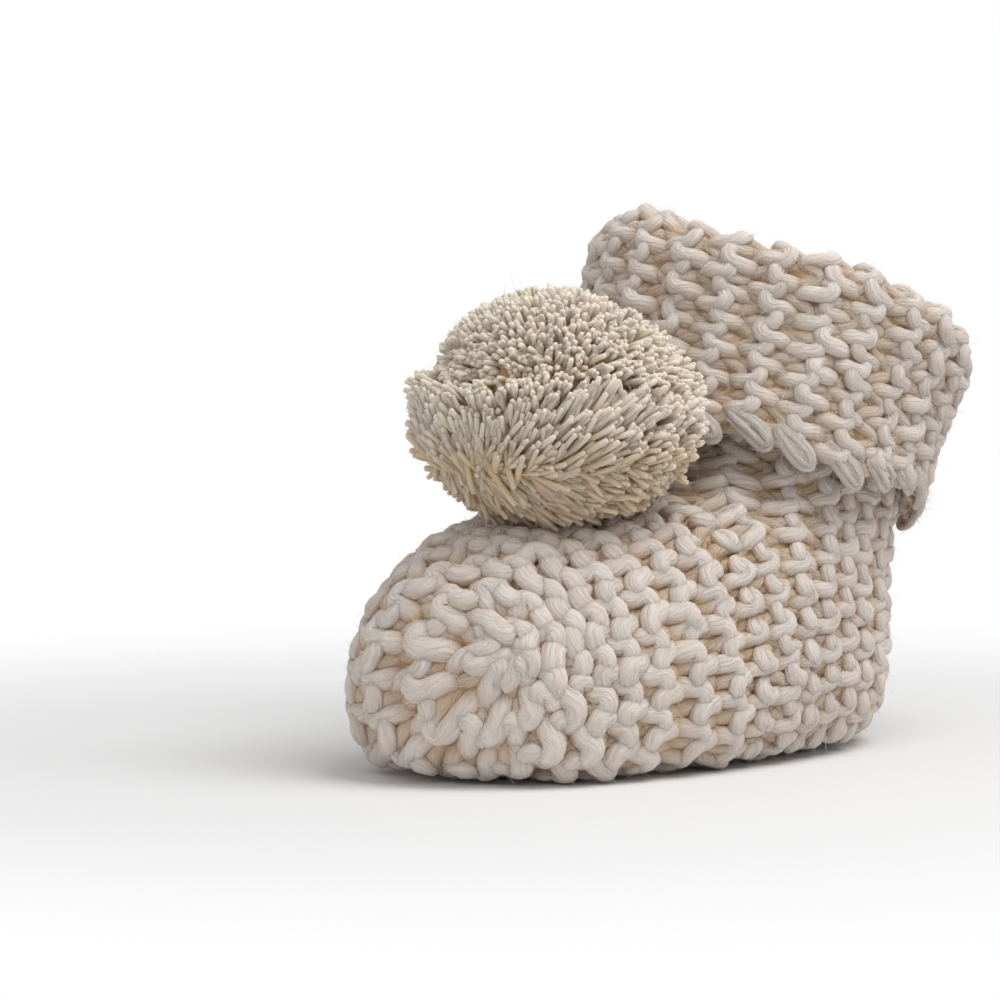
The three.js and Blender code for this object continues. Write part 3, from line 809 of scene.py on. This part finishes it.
def knit_row(yarns, patch, ridge, sign, length, yarn, stitch=None, stitches=None, from_top=False,
             closed=False, rise=LOOP_RISE, base=0.0, spread=0.36, curl=0.34 * MM, lean=0.45,
             jitter=1.0, tint=None, flat=YARN_FLAT):
    """One row of loops along a ridge.

    sign says which side of the sheet the loops start on. Give either the stitch length or
    the number of stitches. from_top measures the row down from the patch's f = 1 end.
    spread is the loops' reach across the ridge, curl their swing along it, and base the
    height of the row over the sheet.
    """
    if stitches is None:
        stitches = max(1, round(length / stitch * 2) / 2)
    turn = np.linspace(0, 2 * np.pi * stitches, int(LOOP_STEPS * stitches) + 1)
    keys = int(stitches * 2) + 2
    wobbles = [smooth_noise(keys, turn, 0.17 * MM * jitter),
               smooth_noise(keys, turn, 0.028 * jitter),
               smooth_noise(keys, turn, 0.16 * MM * jitter),
               smooth_noise(int(stitches) + 2, turn, 0.07 * jitter),
               smooth_noise(max(3, int(stitches / 3)), turn, 0.035 * jitter)]
    if closed:
        # no wobble where the ring's ends meet
        window = np.minimum(1, np.minimum(turn - turn[0], turn[-1] - turn) / (2 * np.pi * 0.7))
        wobbles = [wobble * window for wobble in wobbles]
    shift_along, shift_across, shift_height, swell, wander = wobbles
    cosine = np.cos(turn)
    swing = np.sign(cosine) * np.abs(cosine) ** 0.8
    along = length / stitches * turn / (2 * np.pi) + curl * np.sin(2 * turn) + shift_along
    u = ridge + (spread * swing + shift_across + wander)
    # each loop starts low and ends high, so it overlaps the next one like a scale
    height = sign * rise * np.cos(turn - lean) * (1 + swell) + shift_height * 0.8 + base
    if from_top:
        f = 1 - along / patch.length_at(ridge)
        widest = 6.4 * MM
        narrow = np.minimum(1.0, widest / (patch.on_ridge(patch.widths, ridge, f) + 1e-9))
        u = ridge + (u - ridge) * narrow
        f = f + patch.on_ridge(patch.shear, ridge, f) * (u - ridge)
    else:
        f = along / length
        if closed:
            f = f % 1.0
    points, normals = patch.at(u, f, height)
    if closed:
        points[-1] = points[0] * 0.5 + points[-1] * 0.5
        points[0] = points[-1]
    tint = RNG.uniform(0.25, 0.75) if tint is None else tint
    tint = tint + smooth_noise(max(3, int(stitches / 2)), turn, 0.12)
    yarns.add_knit(points, normals, yarn * (1 + swell * 0.5), tint, height, flat=flat)


def valley_row(yarns, patch, ridge, length, from_top=False):
    """The legs of the stitches where they show, low down between two ridges."""
    knit_row(yarns, patch, ridge, 1, length, from_top=from_top, rise=0.22 * MM, base=-0.22 * MM,
             spread=0.27, stitch=5.2 * MM, yarn=0.92 * MM, lean=0.0, flat=1.15, curl=0.1 * MM,
             tint=0.35)


def knit_foot(patch, ring_count):
    pieces = []
    groups = [(0, 4), (4, 6), (6, ring_count)]
    for number, (first, end) in enumerate(groups, 1):
        yarns = Yarns()
        for i in range(first, end):
            length = patch.length_at(i + 0.5)
            stitch = float(np.interp(i, [3, ring_count - 1], [5.7, 4.9])) * MM
            smallest = i < 1
            for offset, sign in ((-0.25, 1), (0.25, -1)):
                knit_row(yarns, patch, i + 0.5 + offset, sign, length, closed=True,
                         stitches=max(5, int(round(length / stitch))),
                         curl=(0.1 if smallest else 0.36) * MM,
                         rise=LOOP_RISE * (0.85 if smallest else 1.0),
                         yarn=float(np.interp(i, [0, 4, ring_count - 1], [1.32, 1.28, 1.10])) * MM,
                         jitter=1.9 if i < 4 else 1.3)
        obj = yarns.finish("knit_foot_rings_%d" % number, CREAM)
        settle_on_floor(obj)
        pieces.append(add_piece(obj, body="foot" if number == 1 else None))
    return pieces


def knit_leg(patch, side_name):
    pieces = []
    top_gap = 0.6 * MM
    for number, (first, end) in enumerate([(0, 3), (3, 7), (7, SIDE_RIDGES)], 1):
        yarns = Yarns()
        for i in range(first, end):
            # the first rows at the front are finer and reach wider
            spread, curl, stitch, yarn = [
                float(np.interp(i, [0, 3], values))
                for values in ([0.38, 0.34], [0.28, 0.32], [4.2, 4.5], [1.06, 1.10])]
            for offset, sign in ((-0.25, 1), (0.25, -1)):
                knit_row(yarns, patch, i + 0.5 + offset, sign, patch.length_at(i + 0.5) - top_gap,
                         from_top=True, spread=spread, curl=curl * MM, stitch=stitch * MM,
                         yarn=yarn * MM, flat=1.14, jitter=1.25)
            if i > 0:
                valley_row(yarns, patch, float(i), patch.length_at(i) - top_gap, from_top=True)
        obj = yarns.finish("knit_leg_%s_%d" % (side_name, number), CREAM)
        settle_on_floor(obj)
        pieces.append(add_piece(obj))
    return pieces


def knit_cuff(patch):
    pieces = []
    per_piece = 6
    for group in range(CUFF_RIDGES // per_piece):
        yarns = Yarns(shade=0.82)
        for i in range(group * per_piece, (group + 1) * per_piece):
            for offset, sign in ((-0.22, 1), (0.22, -1)):
                ridge = i + 0.5 + offset
                knit_row(yarns, patch, ridge, sign, patch.length_at(ridge), stitch=4.25 * MM,
                         spread=0.31, jitter=1.35, yarn=1.08 * MM, flat=1.12)
            valley_row(yarns, patch, float(i + 1), patch.length_at(i + 1))
        obj = yarns.finish("knit_cuff_%d" % (group + 1), CREAM)
        pieces.append(add_piece(obj, body="cuff"))
    return pieces


def hem_chain(patch):
    """One long slanted loop for each ridge, each lying over the root of the one before it."""
    yarns = Yarns()
    count = 40
    wall_height = 34.0 * MM          # the loops are measured against this
    # leaf outline: along runs from 0 at the root to 1 at the tip, across is square to it
    angle = np.linspace(0.06, 1.94, count) * math.pi
    along = 0.5 - 0.5 * np.cos(angle)
    across = np.sin(angle) * (0.45 + 0.35 * along)
    rise = 0.5 + 0.75 * np.sin(np.pi * np.clip(along, 0, 1)) ** 0.8
    opening = np.sin(np.pi * np.linspace(0, 1, count)) ** 0.35
    for i in range(CUFF_RIDGES):
        vary = RNG.normal(0, 1, 4)
        length, width, slant = 0.82 + 0.07 * vary[0], 0.85 + 0.12 * vary[1], 3.4 + 0.35 * vary[2]
        u = i + 0.2 + 0.05 * vary[3] + along * length - across * 0.12
        # mm below the fabric's lower edge when positive
        down = -2.2 + along * slant + across * width
        f = 1 + np.minimum(down, 0.0) * MM / wall_height
        path, normals = patch.at(u % CUFF_RIDGES, f, rise * MM)
        path = path - LEG_AXIS * (np.maximum(down, 0.0) * MM)[:, None]
        for _ in range(2):
            soften(path)
        side = np.cross(unit(np.gradient(path, axis=0)), normals)
        # the loop's yarn opens into a few strands: sideways and upward offsets in mm
        for aside, above in ((-0.62, 0.0), (0.0, 0.32), (0.62, 0.05)):
            strand = path + side * (aside * MM * opening)[:, None] \
                + normals * ((above + 0.1 * RNG.normal()) * MM)
            # the fixed height only sets the painted shade, high so the hem loops stay light
            yarns.add_knit(strand, normals, 0.52 * MM, RNG.uniform(0.35, 0.85),
                           np.full(count, LOOP_RISE * 1.45), flat=1.05)
    obj = yarns.finish("cuff_hem_chain", CREAM)
    return add_piece(obj, body="cuff", replaces=("cuff_edge_chain",))


# ------------------------------------------------------------------ core sheet inside the fabric, brown as painted shade for the gaps between stitches
def core_shell(name, grid, half_thickness, body=None, replaces=(), wrap=False):
    """Closed thin sheet round a grid of points; wrap joins its last row to its first."""
    count_u, count_f = grid.shape[:2]
    if wrap:
        across = np.roll(grid, -1, 0) - np.roll(grid, 1, 0)
    else:
        across = np.gradient(grid, axis=0)
    offset = unit(np.cross(across, np.gradient(grid, axis=1)), 1e-12) * half_thickness
    index = np.arange(count_u * count_f).reshape(count_u, count_f)
    under = count_u * count_f
    rows = np.arange(count_u if wrap else count_u - 1)
    after = (rows + 1) % count_u

    def rim(starts, ends):
        return np.stack([starts, ends, ends + under, starts + under], -1)

    top = np.stack([index[rows][:, :-1], index[after][:, :-1],
                    index[after][:, 1:], index[rows][:, 1:]], -1).reshape(-1, 4)
    quads = [top, top[:, ::-1] + under,
             rim(index[rows, 0], index[after, 0])[:, ::-1],
             rim(index[rows, -1], index[after, -1])]
    if not wrap:
        quads += [rim(index[0, :-1], index[0, 1:]),
                  rim(index[-1, :-1], index[-1, 1:])[:, ::-1]]
    verts = np.concatenate([(grid + offset).reshape(-1, 3), (grid - offset).reshape(-1, 3)])
    obj = mesh_from(name, verts, np.concatenate(quads))
    # the brown core is painted shade for the gaps between stitches
    obj.data.materials.append(FABRIC_SHADE_CORE)
    add_piece(obj, body=body, replaces=replaces)


# ------------------------------------------------------------------ pompom
POM_CENTRE = np.array([1.6, -17.4, 49.2]) * MM
POM_RADII = np.array([20.8, 18.8, 16.4]) * MM
# The pompom's partings are laid out as seen from this side, 40 degrees from the toe towards +X.
VIEW_ANGLE = math.radians(40.0)
VIEW_RIGHT = np.array([math.cos(VIEW_ANGLE), math.sin(VIEW_ANGLE), 0.0])
TO_VIEWER = np.array([math.sin(VIEW_ANGLE), -math.cos(VIEW_ANGLE), 0.0])
STRAND_COUNT = 8400
STRAND_STEPS = 6
# Height of the instep under the pompom, in mm. Each row: y, z.
INSTEP = np.array([(-48, 14), (-44, 24), (-38, 30.2), (-30, 33.0), (-20, 34.6), (-10, 36.6),
                   (-5, 39)])


def press(obj):
    """Gives the object its own copy of its mesh; the pompom is not pressed flatter."""
    tuple(POM_CENTRE + np.array([0, -POM_RADII[1], 0]))
    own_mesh(obj)


def comb_strand(across, up, facing, normal):
    """How a strand lies: its flow over the surface, slide in mm, lift and the crease height.

    across and up place it in the view from -1 to 1; facing is 1 towards the viewer.
    """
    lower = -0.44 + 0.05 * across + 0.05 * math.sin(5 * across)
    crease = 0.33 + 0.05 * math.sin(4 * across + 1.0)
    # the upper parting shows from the left edge to a little past the middle
    left = clamp((0.42 - across) / 0.35)
    right = clamp((across - 0.30) / 0.40)
    if up < crease:
        below = up < lower
        fan = np.array([across + 0.60, (up + 0.39) * 1.2])
        fan /= np.linalg.norm(fan) + 0.12
        flow = VIEW_RIGHT * (0.8 * fan[0] + 0.12) + UP * (0.7 * fan[1] + (-0.5 if below else 0.55))
        slide = RNG.uniform(9.0, 13.0) if below else RNG.uniform(8.0, 11.0)
        # strands stand up again towards the upper parting, and a little proud of it
        away = clamp((crease - up) / 0.34)
        away += (1 - away) * (1 - left)
        slide *= (0.15 + 0.85 * away) * (1 - 0.65 * right)
        lift = 0.955 if below else 0.985 + 0.045 * (1 - away)
        if abs(up - lower) < 0.07:
            lift -= 0.03
    else:
        flow = VIEW_RIGHT * across * 1.1 + UP * max(-0.1, up - 0.62) \
            + TO_VIEWER * 0.2 * (1 - facing)
        slide = RNG.uniform(0.5, 2.5)
        lift = 1.0 - left * 0.05 * (1 - clamp((up - crease) / 0.22))
    # round the outline the strands stick straight out
    slide *= 0.35 + 0.65 * clamp((facing + 0.05) / 0.5)
    if facing < -0.3:
        flow = flow * 0.5 + normal * 0.5
    flow = flow + RNG.normal(0, 0.18, 3)
    flow -= normal * (flow @ normal)
    speed = np.linalg.norm(flow)
    flow = flow / (speed + 1e-6) * min(1.0, speed)
    # the upper dome is narrower than the body below the crease
    dome = 1 - 0.12 * clamp((up - crease + 0.05) / (0.15 + 0.5 * (1 - left)))
    return flow, slide, lift, crease, dome


def keep_clear(path):
    """Rest a strand against the cuff and on the instep instead of passing into them."""
    offset = path - LEG_BASE
    height = offset @ LEG_AXIS
    offset = offset - height[:, None] * LEG_AXIS
    radius = np.linalg.norm(offset, axis=1)
    limit = CUFF_RADIUS + 0.4 * MM
    inside = (radius < limit) & (height > 13 * MM) & (height < 50 * MM)
    path = path + offset / (radius[:, None] + 1e-9) * np.where(inside, (limit - radius), 0)[:, None]
    instep = np.interp(path[:, 1], INSTEP[:, 0] * MM, INSTEP[:, 1] * MM)
    half_width = 36 * MM
    arch = np.sqrt(np.clip(1 - (path[:, 0] / half_width) ** 2, 0.2, 1))
    path[:, 2] = np.maximum(path[:, 2], instep * arch)
    return path


def pompom_strands(groups, count):
    # even spread of tips over the ellipsoid
    i = np.arange(count) + 0.5
    z = 1 - 2 * i / count
    spiral = i * math.pi * (3 - math.sqrt(5))
    ring = np.sqrt(1 - z * z)
    spots = np.stack([ring * np.cos(spiral), ring * np.sin(spiral), z], -1)
    spots += RNG.normal(0, 0.028, spots.shape)
    spots = unit(spots)
    across, up, facing = spots @ VIEW_RIGHT, spots[:, 2], spots @ TO_VIEWER
    # tips gather into small tufts
    tufts = unit(RNG.normal(0, 1, (760, 3)))
    nearest = np.argmax(spots @ tufts.T, axis=1)
    share = np.linspace(0, 1, STRAND_STEPS + 1)
    for k, spot in enumerate(spots):
        flow, slide, lift, crease, dome = comb_strand(
            across[k], up[k], facing[k], unit(spot / POM_RADII))
        reach = (RNG.normal(1.0, 0.038) + 0.07 * noise.noise(Vector(spot * 2.8))) * lift
        gather = tufts[nearest[k]] - spot
        gather *= min(1.0, 0.16 / (np.linalg.norm(gather) + 1e-6))
        shape = np.array([dome, dome, 1.0])
        tip = (spot + gather * RNG.uniform(0.1, 0.5)) * shape * POM_RADII * min(reach, 1.07)
        surface = spot * shape * POM_RADII
        root = surface * 0.50 - flow * slide * MM
        middle = surface * 0.93 - flow * slide * MM * 0.66
        path = ((1 - share) ** 2)[:, None] * root \
            + (2 * share * (1 - share))[:, None] * middle + (share ** 2)[:, None] * tip
        wobble = np.outer(
            np.sin(share * math.pi * RNG.uniform(0.8, 1.6) + RNG.uniform(0, 6)),
            RNG.normal(0, 0.22 * MM, 3))
        path = keep_clear(POM_CENTRE + path + wobble * share[:, None])
        thickness = 0.42 if up[k] < crease else 0.41
        radius = thickness * MM * RNG.uniform(0.85, 1.12) * np.interp(
            share, [0, 0.5, 0.93, 1.0], [0.7, 1.0, 1.05, 0.9])
        facing_side = np.cross(path[-1] - path[0], RNG.normal(0, 1, 3))
        yarns = groups[k * len(groups) // count]
        yarns.add(path, unit(facing_side), radius, tint=RNG.uniform(0.15, 0.9), twist=0.12, ply=3,
                  lobe=0.06, per_cell=STRAND_STEPS, start=RNG.uniform(0, 8))
        # painted shade, stronger towards the root and on the underside
        underside = clamp((0.12 - up[k]) / 0.4)
        depth = np.clip(1.16 - share * 1.22 + 0.72 * underside * (1 - share * 0.35), 0, 1)
        yarns.parts["depth"] += [np.repeat(depth, yarns.sides), np.array([depth[0], depth[-1]])]


def build_pompom():
    groups = [Yarns(sides=5) for _ in range(3)]
    pompom_strands(groups, STRAND_COUNT)
    pieces = []
    for number, yarns in enumerate(groups, 1):
        obj = yarns.finish("pompom_tuft_%d" % number, POMPOM)
        add_piece(obj, body="pompom",
                  replaces=("pompom_strands",) if number == 1 else ())
        pieces.append(obj)
        press(obj)
    return pieces


def build_pompom_bundle():
    """Lumpy ball that keeps the gaps between strands from showing through, brown as painted shade for
    those gaps.
    """
    bands = 28
    around = 2 * bands
    longitudes = np.linspace(0, 2 * np.pi, around, endpoint=False)
    latitudes = np.linspace(-math.pi / 2, math.pi / 2, bands + 1)[1:-1]
    ball = np.array(
        [(0, 0, -1.0)]
        + [(math.cos(lat) * math.cos(lon), math.cos(lat) * math.sin(lon), math.sin(lat))
           for lat in latitudes for lon in longitudes]
        + [(0, 0, 1.0)])
    lumps = np.array([1 + 0.10 * noise.noise(Vector(spot * 3.0))
                      + 0.06 * noise.noise(Vector(spot * 9.0)) for spot in ball])
    size = 0.76 + 0.06 * np.clip(ball[:, 2:], 0, 1)
    verts = POM_CENTRE + ball * POM_RADII * size * lumps[:, None]
    quads, tris = [], []
    for i in range(len(latitudes) - 1):
        for j in range(around):
            near = 1 + i * around + j
            beside = 1 + i * around + (j + 1) % around
            quads.append((near, beside, beside + around, near + around))
    last = 1 + (len(latitudes) - 1) * around
    for j in range(around):
        tris.append((0, 1 + (j + 1) % around, 1 + j))
        tris.append((len(verts) - 1, last + j, last + (j + 1) % around))
    obj = mesh_from("pompom_bundle", verts, np.array(quads), np.array(tris))
    obj.data.materials.append(POMPOM_SHADE_CORE)
    add_piece(obj, body="pompom")
    press(obj)


# ------------------------------------------------------------------ small yarns
def yarn_piece(name, body, replaces, paths, radius, material=SEAM):
    """paths: pairs of points and the direction the yarn's flat side faces."""
    yarns = Yarns(sides=8)
    for path, facing in paths:
        yarns.add_knit(path, facing, radius, 0.5, np.full(len(path), LOOP_RISE))
    add_piece(yarns.finish(name, material), body=body, replaces=(replaces,))


def twisted_pair(node, count, turn, start=0.0, end=0.0):
    """Two strands twisted up through a piece's box. start and end move the ends up."""
    centre, low, high = box_of(node)
    z = np.linspace(low[2] + start, high[2] + end, count)
    pair = []
    for offset in (0, math.pi):
        angle = (z - low[2]) / MM * turn + offset
        pair.append((np.stack([centre[0] + 0.5 * MM * np.cos(angle),
                               centre[1] + 0.5 * MM * np.sin(angle), z], -1), SIDEWAYS))
    return pair


def whip_seam(start, end, up, stitches, height, width):
    """Hand-sewn overcast seam from start to end."""
    start, end, up = np.array(start, float), np.array(end, float), np.array(up, float)
    share = np.linspace(0, 1, stitches * 14 + 1)
    run = end - start
    angle = share * stitches * 2 * np.pi
    path = start + np.outer(share, run) \
        + np.outer(np.cos(angle) * width, np.cross(unit(run), up)) \
        + np.outer(np.sin(angle) * height, up)
    return [(path, up)]


def leg_back_point(height, radius):
    """A point behind the leg line: mm along the line and mm out from it."""
    return LEG_BASE + LEG_AXIS * height * MM + BACK * radius * MM


def build_pompom_yarns():
    turn = np.linspace(0, 2 * np.pi * 3, 120)
    tie = box_of("pompom_tie_yarn")[0] + np.stack(
        [5.6 * np.cos(turn), 5.6 * np.sin(turn), 0.9 * np.sin(turn / 3)], -1) * MM
    centre, low, _ = box_of("pompom_anchor_stitch")
    turn = np.linspace(0, 2 * np.pi, 90)
    radius = 1.7 + 0.7 * np.cos(3 * turn)
    knot = np.stack([centre[0] + radius * np.cos(2 * turn) * MM,
                     centre[1] + radius * np.sin(2 * turn) * MM,
                     low[2] + 2.0 * MM + 0.8 * np.sin(3 * turn) * MM], -1)
    neck = twisted_pair("pompom_tail_neck", count=24, turn=1.4, end=2 * MM)
    anchor = twisted_pair("pompom_anchor_stitch", count=40, turn=1.2, start=1.5 * MM)
    for name, body, replaces, paths, yarn_radius in (
            ("pompom_tie", "pompom", "pompom_tie_yarn", [(tie, UP)], 0.6 * MM),
            ("pompom_neck_yarn", "pompom_neck", "pompom_tail_neck", neck, 0.5 * MM),
            ("pompom_anchor_knot", "foot", "pompom_anchor_stitch", anchor + [(knot, UP)],
             0.55 * MM)):
        yarn_piece(name, body, replaces, paths, yarn_radius, POMPOM)


def build_seams():
    centre, low, high = box_of("sole_seam_yarn")
    z = centre[2] + 0.8 * MM
    yarn_piece("sole_seam", "foot", "sole_seam_yarn",
               whip_seam((0, low[1] + 1 * MM, z), (0, high[1] - 1 * MM, z), UP,
                         stitches=15, height=0.8 * MM, width=1.3 * MM), radius=0.75 * MM)
    centre, low, high = box_of("heel_seam_yarn")
    y = centre[1] - 0.5 * MM
    yarn_piece("heel_seam", "foot", "heel_seam_yarn",
               whip_seam((0, y, low[2]), (0, y, high[2]), (0, -1, 0),
                         stitches=3, height=0.8 * MM, width=1.2 * MM), radius=0.7 * MM)
    yarn_piece("leg_seam", "leg", "leg_seam_yarn",
               whip_seam(leg_back_point(17, 17.8), leg_back_point(41, 17.8), FRONT,
                         stitches=5, height=0.7 * MM, width=1.1 * MM), radius=0.7 * MM)
    yarn_piece("cuff_seam", "cuff", "cuff_seam_yarn",
               whip_seam(leg_back_point(22, 24.0), leg_back_point(41, 24.0), BACK,
                         stitches=4, height=0.35 * MM, width=0.9 * MM), radius=0.5 * MM)


def build_toe_gather(foot):
    """Drawn-up yarn spiralling into the middle of the toe."""
    toe_out = unit(np.array([math.sin(TOE_TURN), -math.cos(TOE_TURN), 0.08]))
    aside = unit(np.cross(toe_out, UP))
    upward = np.cross(aside, toe_out)
    turn = np.linspace(0, 2 * np.pi * 2.6, 110)
    radius = np.interp(turn, [0, turn[-1]], [2.6, 0.7])
    path = foot.points[0].mean(0) - toe_out * 0.3 * MM + (
        np.outer(np.cos(turn) * radius, aside) + np.outer(np.sin(turn) * radius, upward)
        + np.outer(-0.5 * turn / turn[-1] + 0.35 * np.sin(turn * 2.3), toe_out)) * MM
    yarn_piece("toe_gather", "foot", "toe_gather_yarn", [(path, toe_out)], 0.95 * MM, CREAM)


# ------------------------------------------------------------------ loose fibres
def haze(name, sources, length, radius, material, body=None, outward=0.6):
    """Short loose fibres rooted at random on the raised parts of the sources."""
    roots, normals = [], []
    for obj in sources:
        depth = np.empty(len(obj.data.vertices))
        obj.data.attributes["depth"].data.foreach_get("value", depth)
        raised = depth < 0.75
        roots.append(read_vertices(obj)[raised])
        normals.append(read_vertices(obj, "normal")[raised])
    roots, normals = np.concatenate(roots), np.concatenate(normals)
    pick = RNG.choice(len(roots), size=min(19800, len(roots)), replace=False)
    roots, normals = roots[pick], normals[pick]
    count = len(roots)
    rings, sides = 2, 3
    heading = unit(normals * outward + RNG.normal(0, 0.55, (count, 3)))
    bend = RNG.normal(0, 1.0, (count, 3))
    lengths = length * RNG.uniform(0.35, 1.0, count) ** 1.3
    share = np.linspace(0, 1, rings + 1)
    curl = RNG.uniform(0.3, 1.3, count)
    path = roots[:, None, :] - normals[:, None, :] * 0.1 * MM \
        + heading[:, None, :] * (share[None, :, None] * lengths[:, None, None]) \
        + bend[:, None, :] * ((share[None, :, None] ** 2) * (lengths * 0.7 * curl)[:, None, None])
    tangent = unit(np.gradient(path, axis=1), 1e-12)
    square = unit(np.cross(heading, bend), 1e-12)
    side = unit(np.cross(tangent, square[:, None, :]), 1e-12)
    normal = np.cross(side, tangent)
    ring_radius = radius * np.interp(share, [0, 0.7, 1], [1, 0.85, 0.35])
    angle = np.arange(sides) / sides * 2 * np.pi
    verts = path[:, :, None, :] + ring_radius[None, :, None, None] * (
        np.cos(angle)[None, None, :, None] * side[:, :, None, :]
        + np.sin(angle)[None, None, :, None] * normal[:, :, None, :])
    verts[..., 2] = np.maximum(verts[..., 2], 0.02 * MM)
    # each fibre is a three-sided tube that closes to a point
    verts = np.concatenate([verts[:, :rings].reshape(count, rings * sides, 3),
                            verts[:, rings].mean(1, keepdims=True)], 1)
    per_fibre = rings * sides + 1
    index = np.arange(count * per_fibre).reshape(count, per_fibre)
    tube = index[:, :-1].reshape(count, rings, sides)
    quads = tube_quads(tube)
    last = tube[:, -1]
    points = np.stack([last, np.roll(last, -1, 1), np.repeat(index[:, -1:], sides, 1)], -1)
    tris = np.concatenate([tube[:, 0][:, ::-1], points.reshape(-1, 3)])
    # one small cell of the bake map for each fibre, shared by all its faces
    columns = int(math.ceil(math.sqrt(count)))
    fibre = np.arange(count)[:, None]
    cell_u = np.append(np.repeat(np.linspace(0.15, 0.85, rings + 1)[:rings], sides), 0.85)
    cell_v = np.append(np.tile([0.15, 0.85, 0.5], rings), 0.5)
    vertex_uv = np.stack([fibre % columns + cell_u, fibre // columns + cell_v],
                         -1).reshape(-1, 2) / columns
    bake_uv = np.concatenate([vertex_uv[quads.ravel()], vertex_uv[tris.ravel()]])
    obj = mesh_from(name, verts.reshape(-1, 3), quads, tris, bake_uv=bake_uv)
    obj.data.materials.append(material)
    return add_piece(obj, body=body)


# ------------------------------------------------------------------ the bootie
FOOT, FOOT_RINGS = build_foot_patch()
LEGS = {"right": build_leg_patch(1), "left": build_leg_patch(-1)}
CUFF = build_cuff_patch()

body_fabric = knit_foot(FOOT, FOOT_RINGS)
for side_name, leg in LEGS.items():
    body_fabric += knit_leg(leg, side_name)
cuff_fabric = knit_cuff(CUFF)
cuff_fabric.append(hem_chain(CUFF))

core_shell("fabric_core_foot", np.transpose(FOOT.points[2:, ::5], (1, 0, 2)), 0.2 * MM,
           replaces=("foot_shell",))
for side_name, leg in LEGS.items():
    core_shell("fabric_core_leg_" + side_name, leg.points[4:115:5, ::4], 0.16 * MM,
               replaces=("leg_shaft",) if side_name == "right" else ())
core_shell("fabric_core_cuff", CUFF.points[6:6 + CUFF_RIDGES * 6:2, ::3], 0.16 * MM,
           body="cuff", replaces=("cuff_fold",), wrap=True)

pompom_tufts = build_pompom()
build_pompom_bundle()
build_pompom_yarns()
build_seams()
build_toe_gather(FOOT)

for i, outward in enumerate(((0.25, 0.5, 0.7, 0.35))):
    haze("wool_haze_foot_%d" % (i + 1), body_fabric, (1.0 + 0.35 * i) * MM, 0.030 * MM,
         CREAM_FUZZ, outward=outward)
for i, outward in enumerate(((0.35, 0.5, 0.7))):
    haze("wool_haze_cuff_%d" % (i + 1), cuff_fabric, (1.0 + 0.4 * i) * MM, 0.030 * MM,
         CREAM_FUZZ, body="cuff", outward=outward)
press(haze("wool_haze_pompom", pompom_tufts, 1.5 * MM, 0.029 * MM, POMPOM_FUZZ,
           body="pompom"))


# ------------------------------------------------------------------ floor, light and camera
def build_floor():
    """White floor that fades into the white surround."""
    bpy.ops.mesh.primitive_plane_add(size=6, location=(0, 0, -0.00005))
    floor = bpy.context.object
    floor.name = "floor"
    material, nodes, surface = new_material("floor_white")
    surface.inputs["Base Color"].default_value = (0.80, 0.80, 0.80, 1)
    surface.inputs["Roughness"].default_value = 0.9
    position = nodes.add("ShaderNodeNewGeometry").outputs["Position"]
    distance = nodes.add("ShaderNodeVectorMath", {0: position}, operation="LENGTH")
    clear = nodes.fade(distance.outputs["Value"], start=0.075, end=0.20)
    glass = nodes.add("ShaderNodeBsdfTransparent")
    blend = nodes.add("ShaderNodeMixShader",
                      {0: clear, 1: surface.outputs[0], 2: glass.outputs[0]})
    output = material.node_tree.nodes["Material Output"]
    nodes.feed(output.inputs[0], blend.outputs[0])
    floor.data.materials.append(material)


def build_world(scene):
    """White surround: full white to the camera, dimmer as a light."""
    world = bpy.data.worlds.new("studio")
    scene.world = world
    world.use_nodes = True
    nodes = Nodes(world.node_tree)
    background = world.node_tree.nodes["Background"]
    background.inputs[0].default_value = (1.0, 1.0, 1.0, 1)
    seen = nodes.add("ShaderNodeLightPath").outputs["Is Camera Ray"]
    strength = nodes.add("ShaderNodeMapRange", {0: seen, 3: 0.51, 4: 1.0})
    nodes.feed(background.inputs[1], strength.outputs[0])


def build_camera(scene, toward, distance=0.90, view_width=0.1405):
    """Camera whose frame is view_width across at the target."""
    data = bpy.data.cameras.new("camera")
    camera = bpy.data.objects.new("camera", data)
    scene.collection.objects.link(camera)
    camera.location = np.array([0.0, 0.0, 0.036]) + toward * distance
    camera.rotation_euler = Vector(-toward).to_track_quat("-Z", "Y").to_euler()
    data.sensor_width = 36
    data.lens = 36.0 * distance / view_width
    data.shift_x = -0.128
    data.clip_start = 0.01
    scene.camera = camera


def softbox(name, offset, size, energy):
    """Round area light, placed from and aimed at the middle of the bootie."""
    target = np.array([0, 0, 0.03])
    data = bpy.data.lights.new(name, "AREA")
    data.shape = "DISK"
    data.size = size
    data.energy = energy
    light = bpy.data.objects.new(name, data)
    bpy.context.scene.collection.objects.link(light)
    place = target + offset
    light.location = place
    light.rotation_euler = (Vector(target) - Vector(place)).to_track_quat("-Z", "Y").to_euler()


build_floor()
scene = bpy.context.scene
build_world(scene)
scene.view_settings.view_transform = "Standard"
CAMERA_RISE = math.radians(4.6)
TO_CAMERA = TO_VIEWER * math.cos(CAMERA_RISE) + UP * math.sin(CAMERA_RISE)
build_camera(scene, TO_CAMERA)
softbox("key", UP * 0.58 + TO_CAMERA * 0.12 + VIEW_RIGHT * 0.27, size=0.50, energy=3.25)
softbox("fill", TO_CAMERA * 0.6 - VIEW_RIGHT * 0.25 + UP * 0.22, size=0.5, energy=0.48)
